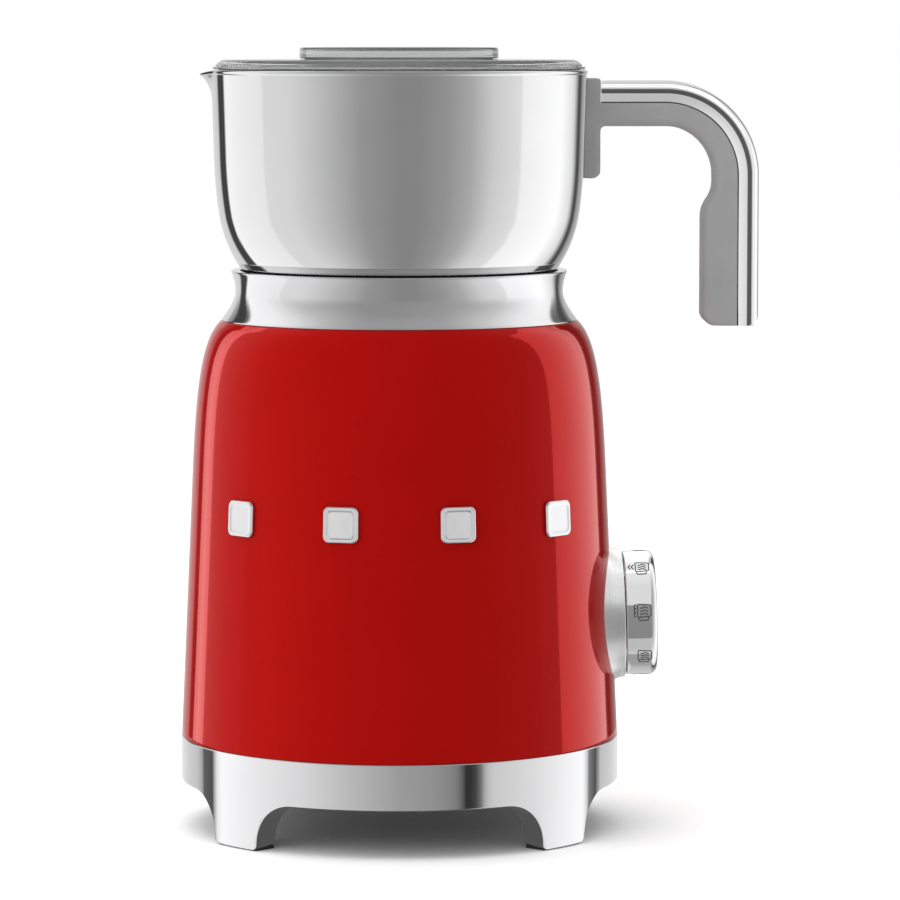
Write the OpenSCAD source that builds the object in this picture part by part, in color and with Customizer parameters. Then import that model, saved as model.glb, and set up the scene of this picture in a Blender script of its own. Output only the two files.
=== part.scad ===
// Electric milk frother: a steel jug that stands in the well of a round heated base.
// The origin is on the base's own axis, at the level of the table. +Z is up, +X points to the
// jug's handle and to the dial, and -X to the spout. Millimetres.

/* [Plinth] */
// Outer radius of the plinth ring and of its legs
plinth_r = 71.85; // [71.8:0.05:72.2]
// Height of the plinth ring's top edge
plinth_top = 30.4; // [30:0.1:31]
// Height of the plinth ring's bottom edge, above the arches between the legs
plinth_bottom = 15.7; // [15.2:0.1:16]
// Angle of each leg, from the front or from the back of the object
leg_angle = 47.8; // [44:0.2:49]
// Half the width of a leg at its foot
leg_half_w = 10.2; // [8:0.1:11]
// Radius of the hollow curve at each side of a leg
leg_fillet = 13.5; // [12:0.5:14]
// Thickness of a leg, along the plinth's radius
leg_depth = 10; // [9.5:0.1:10.2]
// Thickness of a rubber foot pad
pad_h = 1; // [0.6:0.1:1.4]

/* [Body] */
// Radius of the body where it stands on the plinth
body_foot_r = 71.7; // [71.6:0.05:71.8]
// Thickness of the body's wall
body_wall = 2.2; // [1.8:0.1:2.4]
// Height of the body's top edge, under the collar
body_top = 166.3; // [166:0.1:166.6]
// Size of a plain tile on the front
tile_size = 11.4; // [9:0.1:12]
// How far a tile stands proud of the body
tile_proud = 1.4; // [0.8:0.1:1.8]
// Height of the middle of the row of tiles
tile_z = 105.8; // [100:0.1:108]

/* [Collar] */
// Radius of the collar at its neck
collar_neck_r = 53.5; // [53.4:0.05:53.6]
// Radius of the collar's lip
collar_lip_r = 54.8; // [54.6:0.05:55]
// Height of the collar's top
collar_top = 182.7; // [182.6:0.05:182.8]

/* [Dial] */
// Height of the middle of the dial
dial_z = 69.6; // [67:0.1:72]
// Radius of the dial
dial_r = 20.4; // [20:0.1:20.8]
// Distance of the dial's back edge from the body's axis
dial_back = 73.8; // [73.7:0.1:74.2]
// Depth of the dial
dial_depth = 10.2; // [10:0.1:10.6]
// Tilt of the dial's axis, which leans with the body's wall
dial_tilt = 1.7; // [1.5:0.1:2]
// Travel of the start button
button_travel = 1.3; // [0.8:0.1:1.3]

/* [Jug] */
// Radius of the jug at its rim
jug_rim_r = 61.15; // [61.1:0.05:61.2]
// Height of the jug's rim, with the jug in its well
jug_rim_z = 246.9; // [246.5:0.1:247]
// Thickness of the jug's wall
jug_wall = 1.2; // [1:0.1:1.3]
// Radius of the rolled bead at the rim
bead_r = 0.9; // [0.8:0.05:0.95]
// Gap between the jug and its well
well_gap = 0.8; // [0.7:0.1:0.9]

/* [Handle] */
// Width of the handle
handle_w = 20; // [18:0.5:21]
// Radius of the handle's outer bend
bend_outer = 30.8; // [30:0.1:31]
// Radius of the bend's seam between the grip and the strap
bend_seam = 23.5; // [23:0.1:24]
// Radius of the handle's inner bend
bend_inner = 16; // [15.5:0.1:16.5]
// Height of the handle's lower end
handle_bottom = 163.9; // [160:0.1:166]

/* [Lid and cap] */
// Radius of the lid's flange
lid_r = 60.6; // [60.2:0.1:60.8]
// Height of the cap's top
cap_top = 255; // [254.5:0.1:256]
// Radius of the cap
cap_r = 32; // [31.8:0.1:32.6]

/* [Whisk] */
// Radius of the ring that the whisk's coil runs round
whisk_ring_r = 25.5; // [24.5:0.5:28]
// Radius of the coil's own section
whisk_coil_r = 2; // [1.5:0.1:2.2]

/* [Hidden] */
$fn = 96;
tiny = 0.01;

// Body: a cone below and one smooth curve above
cone_top = [67.75, 117.5];
body_curve = [cone_top, [66.5, 145.5], [64.5, 160.5], [58.25, body_top]];
cone_slope = (body_foot_r - cone_top[0]) / (cone_top[1] - plinth_top);
mouth_r = 56.4;

// Collar: a hollow curve up to the neck and a slight flare to the lip
collar_low = [[58.25, body_top], [56.3, 169.1], [collar_neck_r, 172.5], [collar_neck_r, 175.9]];
collar_high = [[collar_neck_r, 175.9], [collar_neck_r, 178.4], [54.1, 180.2], [collar_lip_r, 182]];
collar_wall = 1.3;
collar_bore = 52.2;
spigot_r = 56.2;
spigot_in = 54.6;
spigot_bottom = 163.9;

// Plinth
flange_in = 53;
flange_bottom = 18.7;
flange_top = 21.7;
plinth_wall = 3.5;
leg_mid_r = plinth_r - leg_depth / 2;
LEG_ANGLES = [90 - leg_angle, 90 + leg_angle, 270 - leg_angle, 270 + leg_angle];
cover_r = plinth_r - leg_depth - 0.25;
cover_bottom = 15.8;
post_r = 4;
post_ring = 56.5;
POST_ANGLES = [45, 135, 225, 315];
THREE_WAYS = [0, 120, 240];
FOUR_WAYS = [0, 90, 180, 270];
cover_recess = 1.6;
gland_z = 25.6;
gland_bore = 2.9;

// Jug: a foot curve, a wide side curve, a smooth shoulder and a steep cone
side_c = [15.3, 207.75];
side_r = 44;
side_low = -38;
side_high = -11.2;
foot_r = 9;
foot_c = side_c + (side_r - foot_r) * [cos(side_low), sin(side_low)];
jug_bottom = foot_c[1] - foot_r;
jug_curve = [[58.46, 199.2], [59.4, 204.5], [60.15, 212], [60.35, 220]];
disc_h = 1.3;
disc_r = 38.5;
well_floor = jug_bottom - disc_h;
spout_x = -44;
spout_bottom = 226;
spout_r_low = 12.86;
spout_r_high = 20.9;

// Seat, deck and what stands on the deck
seat_rim = 181.2;
seat_r = 52;
seat_under = well_floor - 2.2;
seat_flange = [160.6, 162.6];
deck_z = 150;
deck_h = 3;
deck_top = deck_z + deck_h;
seat_screw_ring = 53;
former_ring = 36;
former_z = 168.9;
former_h = 2;
coil_wire_r = 0.98;
coil_z = former_z + former_h + 1;
ferrite_h = 3.5;
sensor_x = -20.5;
sensor_foot = 165;

// Drive
shaft_r = 1.5;
bearing_bore = 1.56;
bearing_r = 4.9;
motor_r = 18;
motor_wall = 1.4;
motor_bottom = 117.6;
stator = [123, 142];
winding = [125, 140];
winding_r = 12.5;
commutator = [140, 144];
bracket_z = 147.6;
bracket_ring = 21;
FACE_ANGLES = [60, 240];
face_ring = 12;
carrier = [167.5, 172.6];
carrier_hub = [162, 168];
magnet_ring = 10;
magnet_r = 3;
magnet_h = 3;

// Power side
chassis_h = 2.5;
chassis_top = flange_top + chassis_h;
board_ring = 46;
fan_size = 60;
fan_h = 14;
fan_bore = 28;
fan_plate = 2;
fan_shaft_r = 1.25;
fan_screw_ring = 35;
board_z = 52;
board_h = 1.6;
parts_z = board_z + board_h;

// Dial group, along the dial's own axis
control_z = 57.6;
control_h = 1.6;
encoder_z = control_z + control_h;
encoder_h = 5.3;
switch_h = 2.2;
neck_r = 11.6;
sleeve_r = 7;
sleeve_in = 6;
button_r = 8.6;
button_spring_top = 67;
dial_front = dial_back + dial_depth;
button_front = dial_front - 0.1;

// Handle, in the plane of its outline
bend_c = [86.4, 213.5];
pad_x = 65.3;
pad_top = 245;
pad_bottom = 212.6;
arm_top = bend_c[1] + bend_seam;
arm_under = bend_c[1] + bend_inner;
grip_in = 98.6;
strap_depth = bend_outer - bend_seam;
plate = [216, 240];
plate_half_w = 6;
plate_proud = 1.6;
tang = [232, 234.4];
tang_end = 84;
tang_half_w = 5;
HANDLE_SCREWS_X = [72, 80];
screw_recess = 1.5;

// Lid and cap
lid_under = 248;
lid_hole = 31.2;
lid_top = 251.2;
skirt_r = 58.5;
skirt_bottom = 239;
lid_wall = 1.6;
lid_wall_bottom = 241;
lid_groove = [241.4, 244.6];
cap_flange = 251.4;
cap_bottom = 236;
cap_groove = [243.9, 246.1];
groove_depth = 0.6;

// Whisk
whisk_low = jug_bottom + jug_wall + 1.2;
whisk_web = 3;
whisk_hub = 13;
whisk_hub_r = 4;
whisk_magnet_ring = 12;
whisk_magnet_r = 2.5;
whisk_magnet_h = 1.8;
pin_r = 2;
pin_top = 197;

// ---- outlines ----

// A point of a cubic curve, and the curve's direction there
function curve_point(c, t) =
    pow(1 - t, 3) * c[0] + 3 * pow(1 - t, 2) * t * c[1] + 3 * (1 - t) * t * t * c[2] + pow(t, 3) * c[3];
function curve_direction(c, t) =
    pow(1 - t, 2) * (c[1] - c[0]) + 2 * (1 - t) * t * (c[2] - c[1]) + t * t * (c[3] - c[2]);

// Points of a rising cubic curve, moved towards the axis by inset
function curve(c, inset = 0, steps = 10) = [
    for (i = [0:steps])
        let (d = curve_direction(c, i / steps))
            curve_point(c, i / steps) - inset * [d[1], -d[0]] / norm(d)
];

function arc(c, r, from, to, steps = 8) = [
    for (i = [0:steps])
        let (a = from + (to - from) * i / steps)
            c + r * [cos(a), sin(a)]
];

function reverse(list) = [for (i = [len(list) - 1:-1:0]) list[i]];
function tail(list) = [for (i = [1:len(list) - 1]) list[i]];
function cone_r(z) = body_foot_r - cone_slope * (z - plinth_top);

// The body's side from the plinth up, and the jug's side from its flat bottom up
function body_side(inset) = concat([[body_foot_r - inset, plinth_top]], curve(body_curve, inset));
function jug_side(inset) = concat(
    arc(foot_c, foot_r - inset, -90, side_low),
    tail(arc(side_c, side_r - inset, side_low, side_high)),
    tail(curve(jug_curve, inset, 6)),
    [[jug_rim_r - inset, jug_rim_z]]
);

// ---- shared shapes ----

module ring(outer, inner, low, high) {
    translate([0, 0, low]) linear_extrude(high - low) difference() {
        circle(outer);
        circle(inner);
    }
}

module rod(r, low, high) {
    translate([0, 0, low]) cylinder(r = r, h = high - low);
}

module around(angles, distance) {
    for (a = angles) rotate(a) translate([distance, 0, 0]) children();
}

// A screw that points up: its head's underside is at z = 0
module screw(head_r, head_h, shank_r, shank_h) {
    translate([0, 0, -head_h]) difference() {
        cylinder(r = head_r, h = head_h);
        translate([0, 0, -tiny]) cylinder(r = head_r * 0.45, h = head_h * 0.6, $fn = 6);
    }
    cylinder(r = shank_r, h = shank_h);
}

// A spring of round wire, swept along a helix that starts at z = 0
module spring(r, wire_r, turns, h) {
    steps = 12 * turns;
    sides = 6;
    points = [
        for (i = [0:steps], j = [0:sides - 1])
            let (a = 360 * i / 12, b = 360 * j / sides, out = r + wire_r * cos(b))
                [out * cos(a), out * sin(a), wire_r + (h - 2 * wire_r) * i / steps + wire_r * sin(b)]
    ];
    walls = [
        for (i = [0:steps - 1], j = [0:sides - 1])
            let (k = (j + 1) % sides, a = i * sides)
                [a + j, a + k, a + sides + k, a + sides + j]
    ];
    ends = [
        [for (j = [sides - 1:-1:0]) j],
        [for (j = [0:sides - 1]) steps * sides + j],
    ];
    polyhedron(points, concat(walls, ends), convexity = 10);
}

// Children are placed on the dial's axis, which becomes their z
module on_dial_axis() {
    translate([0, 0, dial_z - dial_back * tan(dial_tilt)]) rotate([0, 90 - dial_tilt, 0]) children();
}

// The straight part of the body's outside, grown by proud
module body_cone(proud) {
    low = 40;
    high = 116;
    translate([0, 0, low])
        cylinder(r1 = cone_r(low) + proud, r2 = cone_r(high) + proud, h = high - low);
}

// ---- base: outside ----

module body_shell() {
    color([0.7, 0.05, 0.05]) difference() {
        rotate_extrude() polygon(concat(
            body_side(0),
            [[mouth_r, body_top]],
            reverse(body_side(body_wall))
        ));
        on_dial_axis() rod(neck_r + 1.4, 50, 80);
    }
}

module collar() {
    inside = [for (p = curve(collar_low, collar_wall)) if (p[0] < spigot_in) p];
    color([0.8, 0.8, 0.82]) rotate_extrude() polygon(concat(
        curve(collar_low),
        tail(curve(collar_high)),
        [[collar_lip_r, collar_top], [collar_bore, collar_top]],
        reverse(inside),
        [[spigot_in, spigot_bottom], [spigot_r, spigot_bottom], [spigot_r, body_top]]
    ));
}

module seat_gasket() {
    color([0.25, 0.25, 0.27]) ring(spigot_r, seat_r + 0.4, seat_flange[1], spigot_bottom);
}

module leg_outline() {
    half = leg_half_w + leg_fillet;
    centre_z = plinth_bottom - leg_fillet + 0.15;
    difference() {
        translate([-half, pad_h]) square([2 * half, plinth_bottom - pad_h]);
        for (s = [-1, 1]) translate([s * half, 0]) {
            translate([0, centre_z]) circle(leg_fillet);
            translate([-leg_fillet, 0]) square([2 * leg_fillet, centre_z]);
        }
    }
}

module plinth() {
    color([0.85, 0.86, 0.88]) difference() {
        rotate_extrude() polygon([
            [plinth_r - leg_depth, plinth_bottom], [plinth_r, plinth_bottom], [plinth_r, plinth_top],
            [plinth_r - plinth_wall, plinth_top], [plinth_r - plinth_wall, flange_top],
            [flange_in, flange_top], [flange_in, flange_bottom],
            [plinth_r - leg_depth, flange_bottom],
        ]);
        around(POST_ANGLES, post_ring) rod(1.8, flange_bottom - 1, flange_top + 1);
        translate([0, 60, gland_z]) rotate([-90, 0, 0]) cylinder(r = 3.9, h = 15);
    }
}

module legs() {
    color([0.85, 0.86, 0.88]) intersection() {
        ring(plinth_r, plinth_r - leg_depth, pad_h, plinth_bottom);
        for (a = LEG_ANGLES) rotate([90, 0, a + 90]) translate([0, 0, 50])
            linear_extrude(30) leg_outline();
    }
}

module foot_pads() {
    inset = 1.3;
    color([0.12, 0.12, 0.12]) intersection() {
        ring(plinth_r - inset, plinth_r - leg_depth + inset, 0, pad_h);
        around(LEG_ANGLES, leg_mid_r)
            cube([leg_depth, 2 * (leg_half_w - inset), 4], center = true);
    }
}

module bottom_cover() {
    color([0.16, 0.16, 0.17]) difference() {
        rod(cover_r, cover_bottom, flange_bottom);
        around(POST_ANGLES, post_ring) {
            rod(1.8, cover_bottom - 1, flange_bottom + 1);
            rod(3.2, cover_bottom - 1, cover_bottom + cover_recess);
        }
        for (i = [-3:3]) translate([0, 7 * i, flange_bottom])
            cube([48 - 2 * i * i, 3, 10], center = true);
    }
}

module bottom_screws() {
    color([0.6, 0.6, 0.6]) around(POST_ANGLES, post_ring)
        translate([0, 0, cover_bottom + cover_recess]) screw(3, 1.5, 1.5, 16);
}

module cord_gland() {
    color([0.1, 0.1, 0.1]) translate([0, 0, gland_z]) rotate([-90, 0, 0]) difference() {
        union() {
            rod(3.8, 66.5, plinth_r);
            rod(4.6, plinth_r, plinth_r + 1.35);
        }
        rod(gland_bore, 60, 80);
    }
}

module badge_tiles() {
    corner = 2;
    inner = tile_size - 2 * corner;
    color([0.85, 0.86, 0.88]) intersection() {
        difference() {
            body_cone(tile_proud);
            body_cone(0);
        }
        for (a = [-47, -15.5, 15.5, 47]) rotate([90, 0, a]) translate([0, tile_z, 50]) {
            cube([tile_size, inner, 60], center = true);
            cube([inner, tile_size, 60], center = true);
            for (x = [-1, 1], y = [-1, 1]) translate([x, y, 0] * inner / 2)
                cylinder(r = corner, h = 60, center = true);
        }
    }
}

// ---- base: the well and the heater ----

module jug_seat() {
    under = [for (p = arc(foot_c, foot_r + 3, -90, side_low)) if (p[0] < seat_r - 2) p];
    rim_angle = asin((seat_rim - side_c[1]) / (side_r + well_gap));
    color([0.3, 0.3, 0.32]) difference() {
        union() {
            rotate_extrude() polygon(concat(
                [[0, seat_under], [foot_c[0] - 2, seat_under]],
                tail(under),
                [
                    [seat_r - 2, 177], [seat_r - 2, seat_flange[0]], [spigot_r, seat_flange[0]],
                    [spigot_r, seat_flange[1]], [seat_r, seat_flange[1]], [seat_r, seat_rim],
                ],
                reverse(arc(side_c, side_r + well_gap, side_low, rim_angle, 1)),
                tail(reverse(arc(foot_c, foot_r + well_gap, -90, side_low))),
                [[disc_r + 1.5, jug_bottom - well_gap], [disc_r + 1.5, well_floor], [0, well_floor]]
            ));
            around(FOUR_WAYS, seat_screw_ring) rod(3.2, deck_top, seat_flange[0] + 1);
        }
        around(FOUR_WAYS, seat_screw_ring) rod(1.5, deck_top - 1, seat_flange[0]);
        translate([sensor_x, 0, 0]) rod(3.4, seat_under - 1, well_floor + 1);
    }
}

module seat_screws() {
    color([0.6, 0.6, 0.6]) around(FOUR_WAYS, seat_screw_ring)
        translate([0, 0, deck_z]) screw(2.8, 2, 1.4, 10);
}

module coil_former() {
    color([0.85, 0.83, 0.75]) difference() {
        union() {
            ring(46, 16, former_z, former_z + former_h);
            around(THREE_WAYS, former_ring) rod(3, deck_top, former_z + 1);
        }
        translate([sensor_x, 0, 0]) rod(3.5, former_z - 1, former_z + former_h + 1);
    }
}

module induction_coil() {
    color([0.75, 0.4, 0.2]) for (r = [25.5:2.2:43.2]) translate([0, 0, coil_z]) rotate_extrude()
        translate([r, 0]) circle(coil_wire_r, $fn = 24);
}

module ferrite_bars() {
    color([0.2, 0.2, 0.2]) around([for (i = [0:5]) 30 + 60 * i], 33)
        translate([-11, -3, former_z - ferrite_h]) cube([22, 6, ferrite_h]);
}

module insulating_sheet() {
    color([0.8, 0.75, 0.6]) ring(42.5, 25, coil_z + coil_wire_r + 0.12, seat_under);
}

module temperature_sensor() {
    color([0.75, 0.75, 0.75]) translate([sensor_x, 0, 0]) {
        rod(4.2, sensor_foot, sensor_foot + 1.4);
        rod(3, sensor_foot + 1, well_floor - 0.3);
    }
}

module sensor_spring() {
    color([0.7, 0.7, 0.7]) translate([sensor_x, 0, deck_top])
        spring(3.2, 0.35, 5, sensor_foot - deck_top);
}

// ---- base: the drive ----

module top_deck() {
    color([0.5, 0.5, 0.52]) difference() {
        rod(61, deck_z, deck_top);
        rod(15.5, deck_z - 1, deck_top + 1);
        around(POST_ANGLES, post_ring) rod(1.7, deck_z - 1, deck_top + 1);
        around(FOUR_WAYS, seat_screw_ring) rod(1.6, deck_z - 1, deck_top + 1);
        around(THREE_WAYS, bracket_ring) rod(1.3, deck_z - 1, deck_top + 1);
    }
}

module deck_screws() {
    color([0.6, 0.6, 0.6]) around(POST_ANGLES, post_ring)
        translate([0, 0, deck_top]) rotate([180, 0, 0]) screw(2.8, 2, 1.5, 14);
}

module motor_bracket() {
    color([0.6, 0.6, 0.62]) difference() {
        rod(26, bracket_z, deck_z);
        rod(bearing_r + 0.15, bracket_z - 1, deck_z + 1);
        around(THREE_WAYS, bracket_ring) rod(1.3, bracket_z - 1, deck_z + 1);
        around(FACE_ANGLES, face_ring) rod(1.3, bracket_z - 1, deck_z + 1);
    }
}

module motor_can() {
    color([0.65, 0.65, 0.68]) difference() {
        rod(motor_r, motor_bottom, bracket_z);
        rod(motor_r - motor_wall, motor_bottom + 2, bracket_z - 2);
        rod(bearing_r + 0.02, motor_bottom - 1, bracket_z + 1);
        around(FACE_ANGLES, face_ring) rod(1.25, bracket_z - 3, bracket_z + 1);
    }
}

module motor_magnets() {
    color([0.3, 0.3, 0.3]) for (a = [0, 180]) rotate(a) intersection() {
        ring(motor_r - motor_wall - 0.05, motor_r - 4, stator[0], stator[1]);
        translate([0, -10, motor_bottom]) cube([20, 20, 30]);
    }
}

module motor_bearings() {
    color([0.7, 0.6, 0.4]) {
        ring(bearing_r, bearing_bore, motor_bottom, motor_bottom + 3);
        ring(bearing_r, bearing_bore, bracket_z - 2, bracket_z + 2);
    }
}

module motor_screws() {
    color([0.6, 0.6, 0.6]) {
        around(THREE_WAYS, bracket_ring)
            translate([0, 0, deck_top]) rotate([180, 0, 0]) screw(2.2, 1.6, 1.2, 5.4);
        around(FACE_ANGLES, face_ring)
            translate([0, 0, deck_z]) rotate([180, 0, 0]) screw(2.2, 1.6, 1.2, 4);
    }
}

module motor_shaft() {
    color([0.75, 0.75, 0.77]) rod(shaft_r, motor_bottom + 0.5, carrier[0] + 1.5);
}

module armature() {
    color([0.6, 0.35, 0.2]) difference() {
        union() {
            rod(winding_r, winding[0], winding[1]);
            rod(5, commutator[0], commutator[1]);
        }
        rod(shaft_r, winding[0] - 1, commutator[1] + 1);
        around([for (i = [0:6]) 360 * i / 7], winding_r) rod(1.6, winding[0] - 1, winding[1] + 1);
    }
}

module magnet_carrier() {
    color([0.2, 0.2, 0.22]) difference() {
        union() {
            rod(14.5, carrier[0], carrier[1]);
            rod(4, carrier_hub[0], carrier_hub[1]);
        }
        rod(shaft_r, carrier_hub[0] - 1, carrier[0] + 1.5);
        around(FOUR_WAYS, magnet_ring) rod(magnet_r + 0.05, carrier[1] - magnet_h, carrier[1] + 1);
    }
}

module drive_magnets() {
    color([0.8, 0.8, 0.82]) around(FOUR_WAYS, magnet_ring)
        rod(magnet_r, carrier[1] - magnet_h, carrier[1]);
}

// ---- base: chassis, fan and electronics ----

module chassis() {
    color([0.3, 0.3, 0.32]) difference() {
        union() {
            ring(66, 27.6, flange_top, chassis_top);
            around(POST_ANGLES, post_ring) rod(post_r, flange_top, deck_z);
            around(THREE_WAYS, board_ring) rod(3, flange_top, board_z);
        }
        around(POST_ANGLES, post_ring) {
            rod(1.6, flange_top - 1, cover_bottom + 20);
            rod(1.6, deck_z - 14.5, deck_z + 1);
        }
    }
}

module fan_frame() {
    half = fan_size / 2;
    color([0.15, 0.15, 0.16]) difference() {
        union() {
            difference() {
                translate([-half, -half, chassis_top]) cube([fan_size, fan_size, fan_h]);
                rod(fan_bore, chassis_top - 1, chassis_top + fan_h + 1);
            }
            rod(9, chassis_top, chassis_top + fan_plate);
            intersection() {
                rod(fan_bore + 0.5, chassis_top, chassis_top + fan_plate);
                for (a = [0, 90]) rotate(a) cube([fan_size, 4, 100], center = true);
            }
        }
        rod(fan_shaft_r + 0.07, chassis_top - 1, chassis_top + fan_plate + 1);
        around(POST_ANGLES, fan_screw_ring) rod(2, chassis_top - 1, chassis_top + fan_h + 1);
    }
}

module fan_impeller() {
    low = chassis_top + fan_plate + 0.6;
    hub_h = 10.5;
    blades = 7;
    blade = [20, 13, 1.2];
    color([0.2, 0.2, 0.22]) {
        rod(10.5, low, low + hub_h);
        rod(fan_shaft_r, chassis_top + 0.3, low + 1);
        intersection() {
            rod(fan_bore - 1.2, low, low + hub_h);
            for (i = [0:blades - 1]) rotate(360 * i / blades) translate([9, 0, low + hub_h / 2])
                rotate([40, 0, 0]) translate([0, -blade[1] / 2, -blade[2] / 2]) cube(blade);
        }
    }
}

module power_board() {
    color([0.1, 0.35, 0.2]) rod(50, board_z, parts_z);
}

module capacitors() {
    color([0.2, 0.25, 0.45]) {
        translate([22, 22, 0]) rod(9, parts_z, parts_z + 26);
        translate([-6, 36, 0]) rod(5, parts_z, parts_z + 16);
        translate([10, -36, parts_z]) cube([26, 18, 20]);
    }
}

module heat_sink() {
    color([0.7, 0.7, 0.72]) translate([-40, -18, parts_z]) {
        cube([30, 36, 3]);
        for (i = [0:6]) translate([0, 5.5 * i + 0.5, 2]) cube([30, 2, 24]);
    }
}

module transistors() {
    color([0.1, 0.1, 0.1]) for (y = [-13, 3]) translate([-10, y, parts_z]) cube([5, 14, 20]);
}

module choke() {
    color([0.75, 0.45, 0.2]) translate([21, 0, parts_z + 3.5]) rotate_extrude()
        translate([8, 0]) circle(3.5);
}

// ---- base: dial group ----

module control_board() {
    color([0.1, 0.35, 0.2]) on_dial_axis() translate([0, 0, control_z + control_h / 2])
        cube([40, 40, control_h], center = true);
}

module encoder_body() {
    color([0.2, 0.2, 0.2]) on_dial_axis() ring(11, sleeve_r + 0.08, encoder_z, encoder_z + encoder_h);
}

module start_switch() {
    color([0.15, 0.15, 0.15]) on_dial_axis() translate([0, 0, encoder_z + switch_h / 2])
        cube([4.4, 4.4, switch_h], center = true);
}

module dial_bezel() {
    low = 60;
    high = dial_back - 0.3;
    color([0.75, 0.75, 0.77]) difference() {
        union() {
            difference() {
                on_dial_axis() translate([0, 0, low])
                    cylinder(r1 = 25, r2 = dial_r + 0.5, h = high - low);
                body_cone(0.02);
            }
            on_dial_axis() rod(neck_r + 1.2, encoder_z, high);
        }
        on_dial_axis() rod(neck_r, encoder_z - 2, high + 1);
    }
}

module dial() {
    edge = 3.2;
    web = 75.5;
    color([0.85, 0.86, 0.88]) on_dial_axis() rotate_extrude() polygon(concat(
        [
            [sleeve_in, encoder_z + 0.6], [sleeve_r, encoder_z + 0.6], [sleeve_r, web],
            [10.8, web], [10.8, dial_front - 1.8], [dial_r - 2, dial_front - 1.8 - edge / 2],
            [dial_r - 2, dial_back], [dial_r, dial_back],
        ],
        arc([dial_r - edge, dial_front - edge], edge, 0, 90),
        [
            [10.2, dial_front], [10.2, dial_front - 1.6], [9, dial_front - 1.6],
            [9, web + 1.5], [sleeve_in, web + 1.5],
        ]
    ));
}

module light_ring() {
    color([0.9, 0.95, 1]) on_dial_axis() ring(10.15, 9, dial_front - 1.55, dial_front);
}

module start_button() {
    color([0.8, 0.8, 0.82]) on_dial_axis() {
        rod(button_r, button_front - 4.4, button_front);
        rod(2.5, encoder_z + switch_h + button_travel + 0.1, button_front - 4);
        rod(4.6, button_spring_top, button_spring_top + 1);
    }
}

module button_spring() {
    color([0.7, 0.7, 0.7]) on_dial_axis() translate([0, 0, encoder_z])
        spring(4, 0.3, 5, button_spring_top - encoder_z);
}

// ---- jug ----

module jug_shell() {
    top = jug_rim_z + 2;
    color([0.8, 0.8, 0.82]) difference() {
        union() {
            rotate_extrude() polygon(concat(
                [[0, jug_bottom]],
                jug_side(0),
                [[0, jug_rim_z]]
            ));
            translate([0, 0, jug_rim_z]) rotate_extrude()
                translate([jug_rim_r - 0.6, 0]) circle(bead_r);
            translate([spout_x, 0, spout_bottom])
                cylinder(r1 = spout_r_low, r2 = spout_r_high, h = jug_rim_z - spout_bottom);
        }
        rotate_extrude() polygon(concat(
            [[0, jug_bottom + jug_wall]],
            jug_side(jug_wall),
            [[jug_rim_r - jug_wall, top], [0, top]]
        ));
        translate([spout_x, 0, spout_bottom]) cylinder(
            r1 = spout_r_low - jug_wall,
            r2 = spout_r_high - jug_wall + 0.77,
            h = top - spout_bottom
        );
    }
}

module induction_disc() {
    color([0.55, 0.55, 0.57]) rod(disc_r, well_floor, jug_bottom);
}

module whisk_pin() {
    floor_z = jug_bottom + jug_wall;
    color([0.75, 0.75, 0.77]) {
        rod(4, floor_z, floor_z + 0.8);
        rod(pin_r, floor_z, pin_top);
    }
}

// The outside of the jug's upper wall between two heights, grown by proud
module jug_wall_solid(proud, low, high) {
    intersection() {
        rotate_extrude() polygon(concat([[0, side_c[1]]], [
            for (p = jug_side(-proud)) if (p[1] > side_c[1]) p
        ], [[0, jug_rim_z]]));
        rod(80, low, high);
    }
}

module weld_bracket() {
    color([0.7, 0.7, 0.72]) difference() {
        union() {
            intersection() {
                jug_wall_solid(plate_proud, plate[0], plate[1]);
                translate([50, -plate_half_w, 210]) cube([20, 2 * plate_half_w, 40]);
            }
            translate([58, -tang_half_w, tang[0]])
                cube([tang_end - 58, 2 * tang_half_w, tang[1] - tang[0]]);
        }
        jug_wall_solid(0.03, 209, jug_rim_z);
        for (x = HANDLE_SCREWS_X) translate([x, 0, 0]) rod(1.3, tang[0] - 1, tang[1] + 1);
    }
}

module grip_outline() {
    inner_x = bend_c[0] + bend_inner;
    step = [[grip_in, 199.5], [grip_in, 205.8], [inner_x, 205.5], [inner_x, 211.8]];
    end_r = 3;
    neck_r = 1.6;
    heel_r = 4.4;
    behind_wall = 55;
    seam_x = bend_c[0] + bend_seam;
    polygon(concat(
        [[behind_wall, pad_top], [pad_x - 0.6, pad_top], [pad_x, pad_top - 0.6]],
        arc([pad_x + neck_r, arm_top + neck_r], neck_r, 180, 270, 4),
        arc(bend_c, bend_seam, 90, 0, 12),
        [[seam_x, handle_bottom]],
        arc([grip_in + end_r, handle_bottom + end_r], end_r, 270, 180, 4),
        curve(step, 0, 8),
        arc(bend_c, bend_inner, 0, 90, 12),
        arc([pad_x + neck_r, arm_under - neck_r], neck_r, 90, 180, 4),
        arc([pad_x - heel_r, pad_bottom + heel_r], heel_r, 0, -90, 6),
        [[behind_wall, pad_bottom]]
    ));
}

module handle_grip() {
    color([0.55, 0.55, 0.56]) difference() {
        translate([0, handle_w / 2, 0]) rotate([90, 0, 0]) linear_extrude(handle_w) grip_outline();
        jug_wall_solid(0.05, 205, jug_rim_z);
        intersection() {
            jug_wall_solid(plate_proud + 0.1, plate[0] - 0.2, plate[1] + 0.2);
            translate([50, -plate_half_w - 0.2, 200]) cube([20, 2 * plate_half_w + 0.4, 60]);
        }
        translate([58, -tang_half_w - 0.1, tang[0] - 0.1])
            cube([tang_end + 0.4 - 58, 2 * tang_half_w + 0.2, tang[1] - tang[0] + 0.2]);
        for (x = HANDLE_SCREWS_X) translate([x, 0, 0]) {
            rod(2.3, arm_under - 1, arm_under + screw_recess);
            rod(1.3, arm_under - 1, arm_top - 0.4);
        }
    }
}

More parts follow.
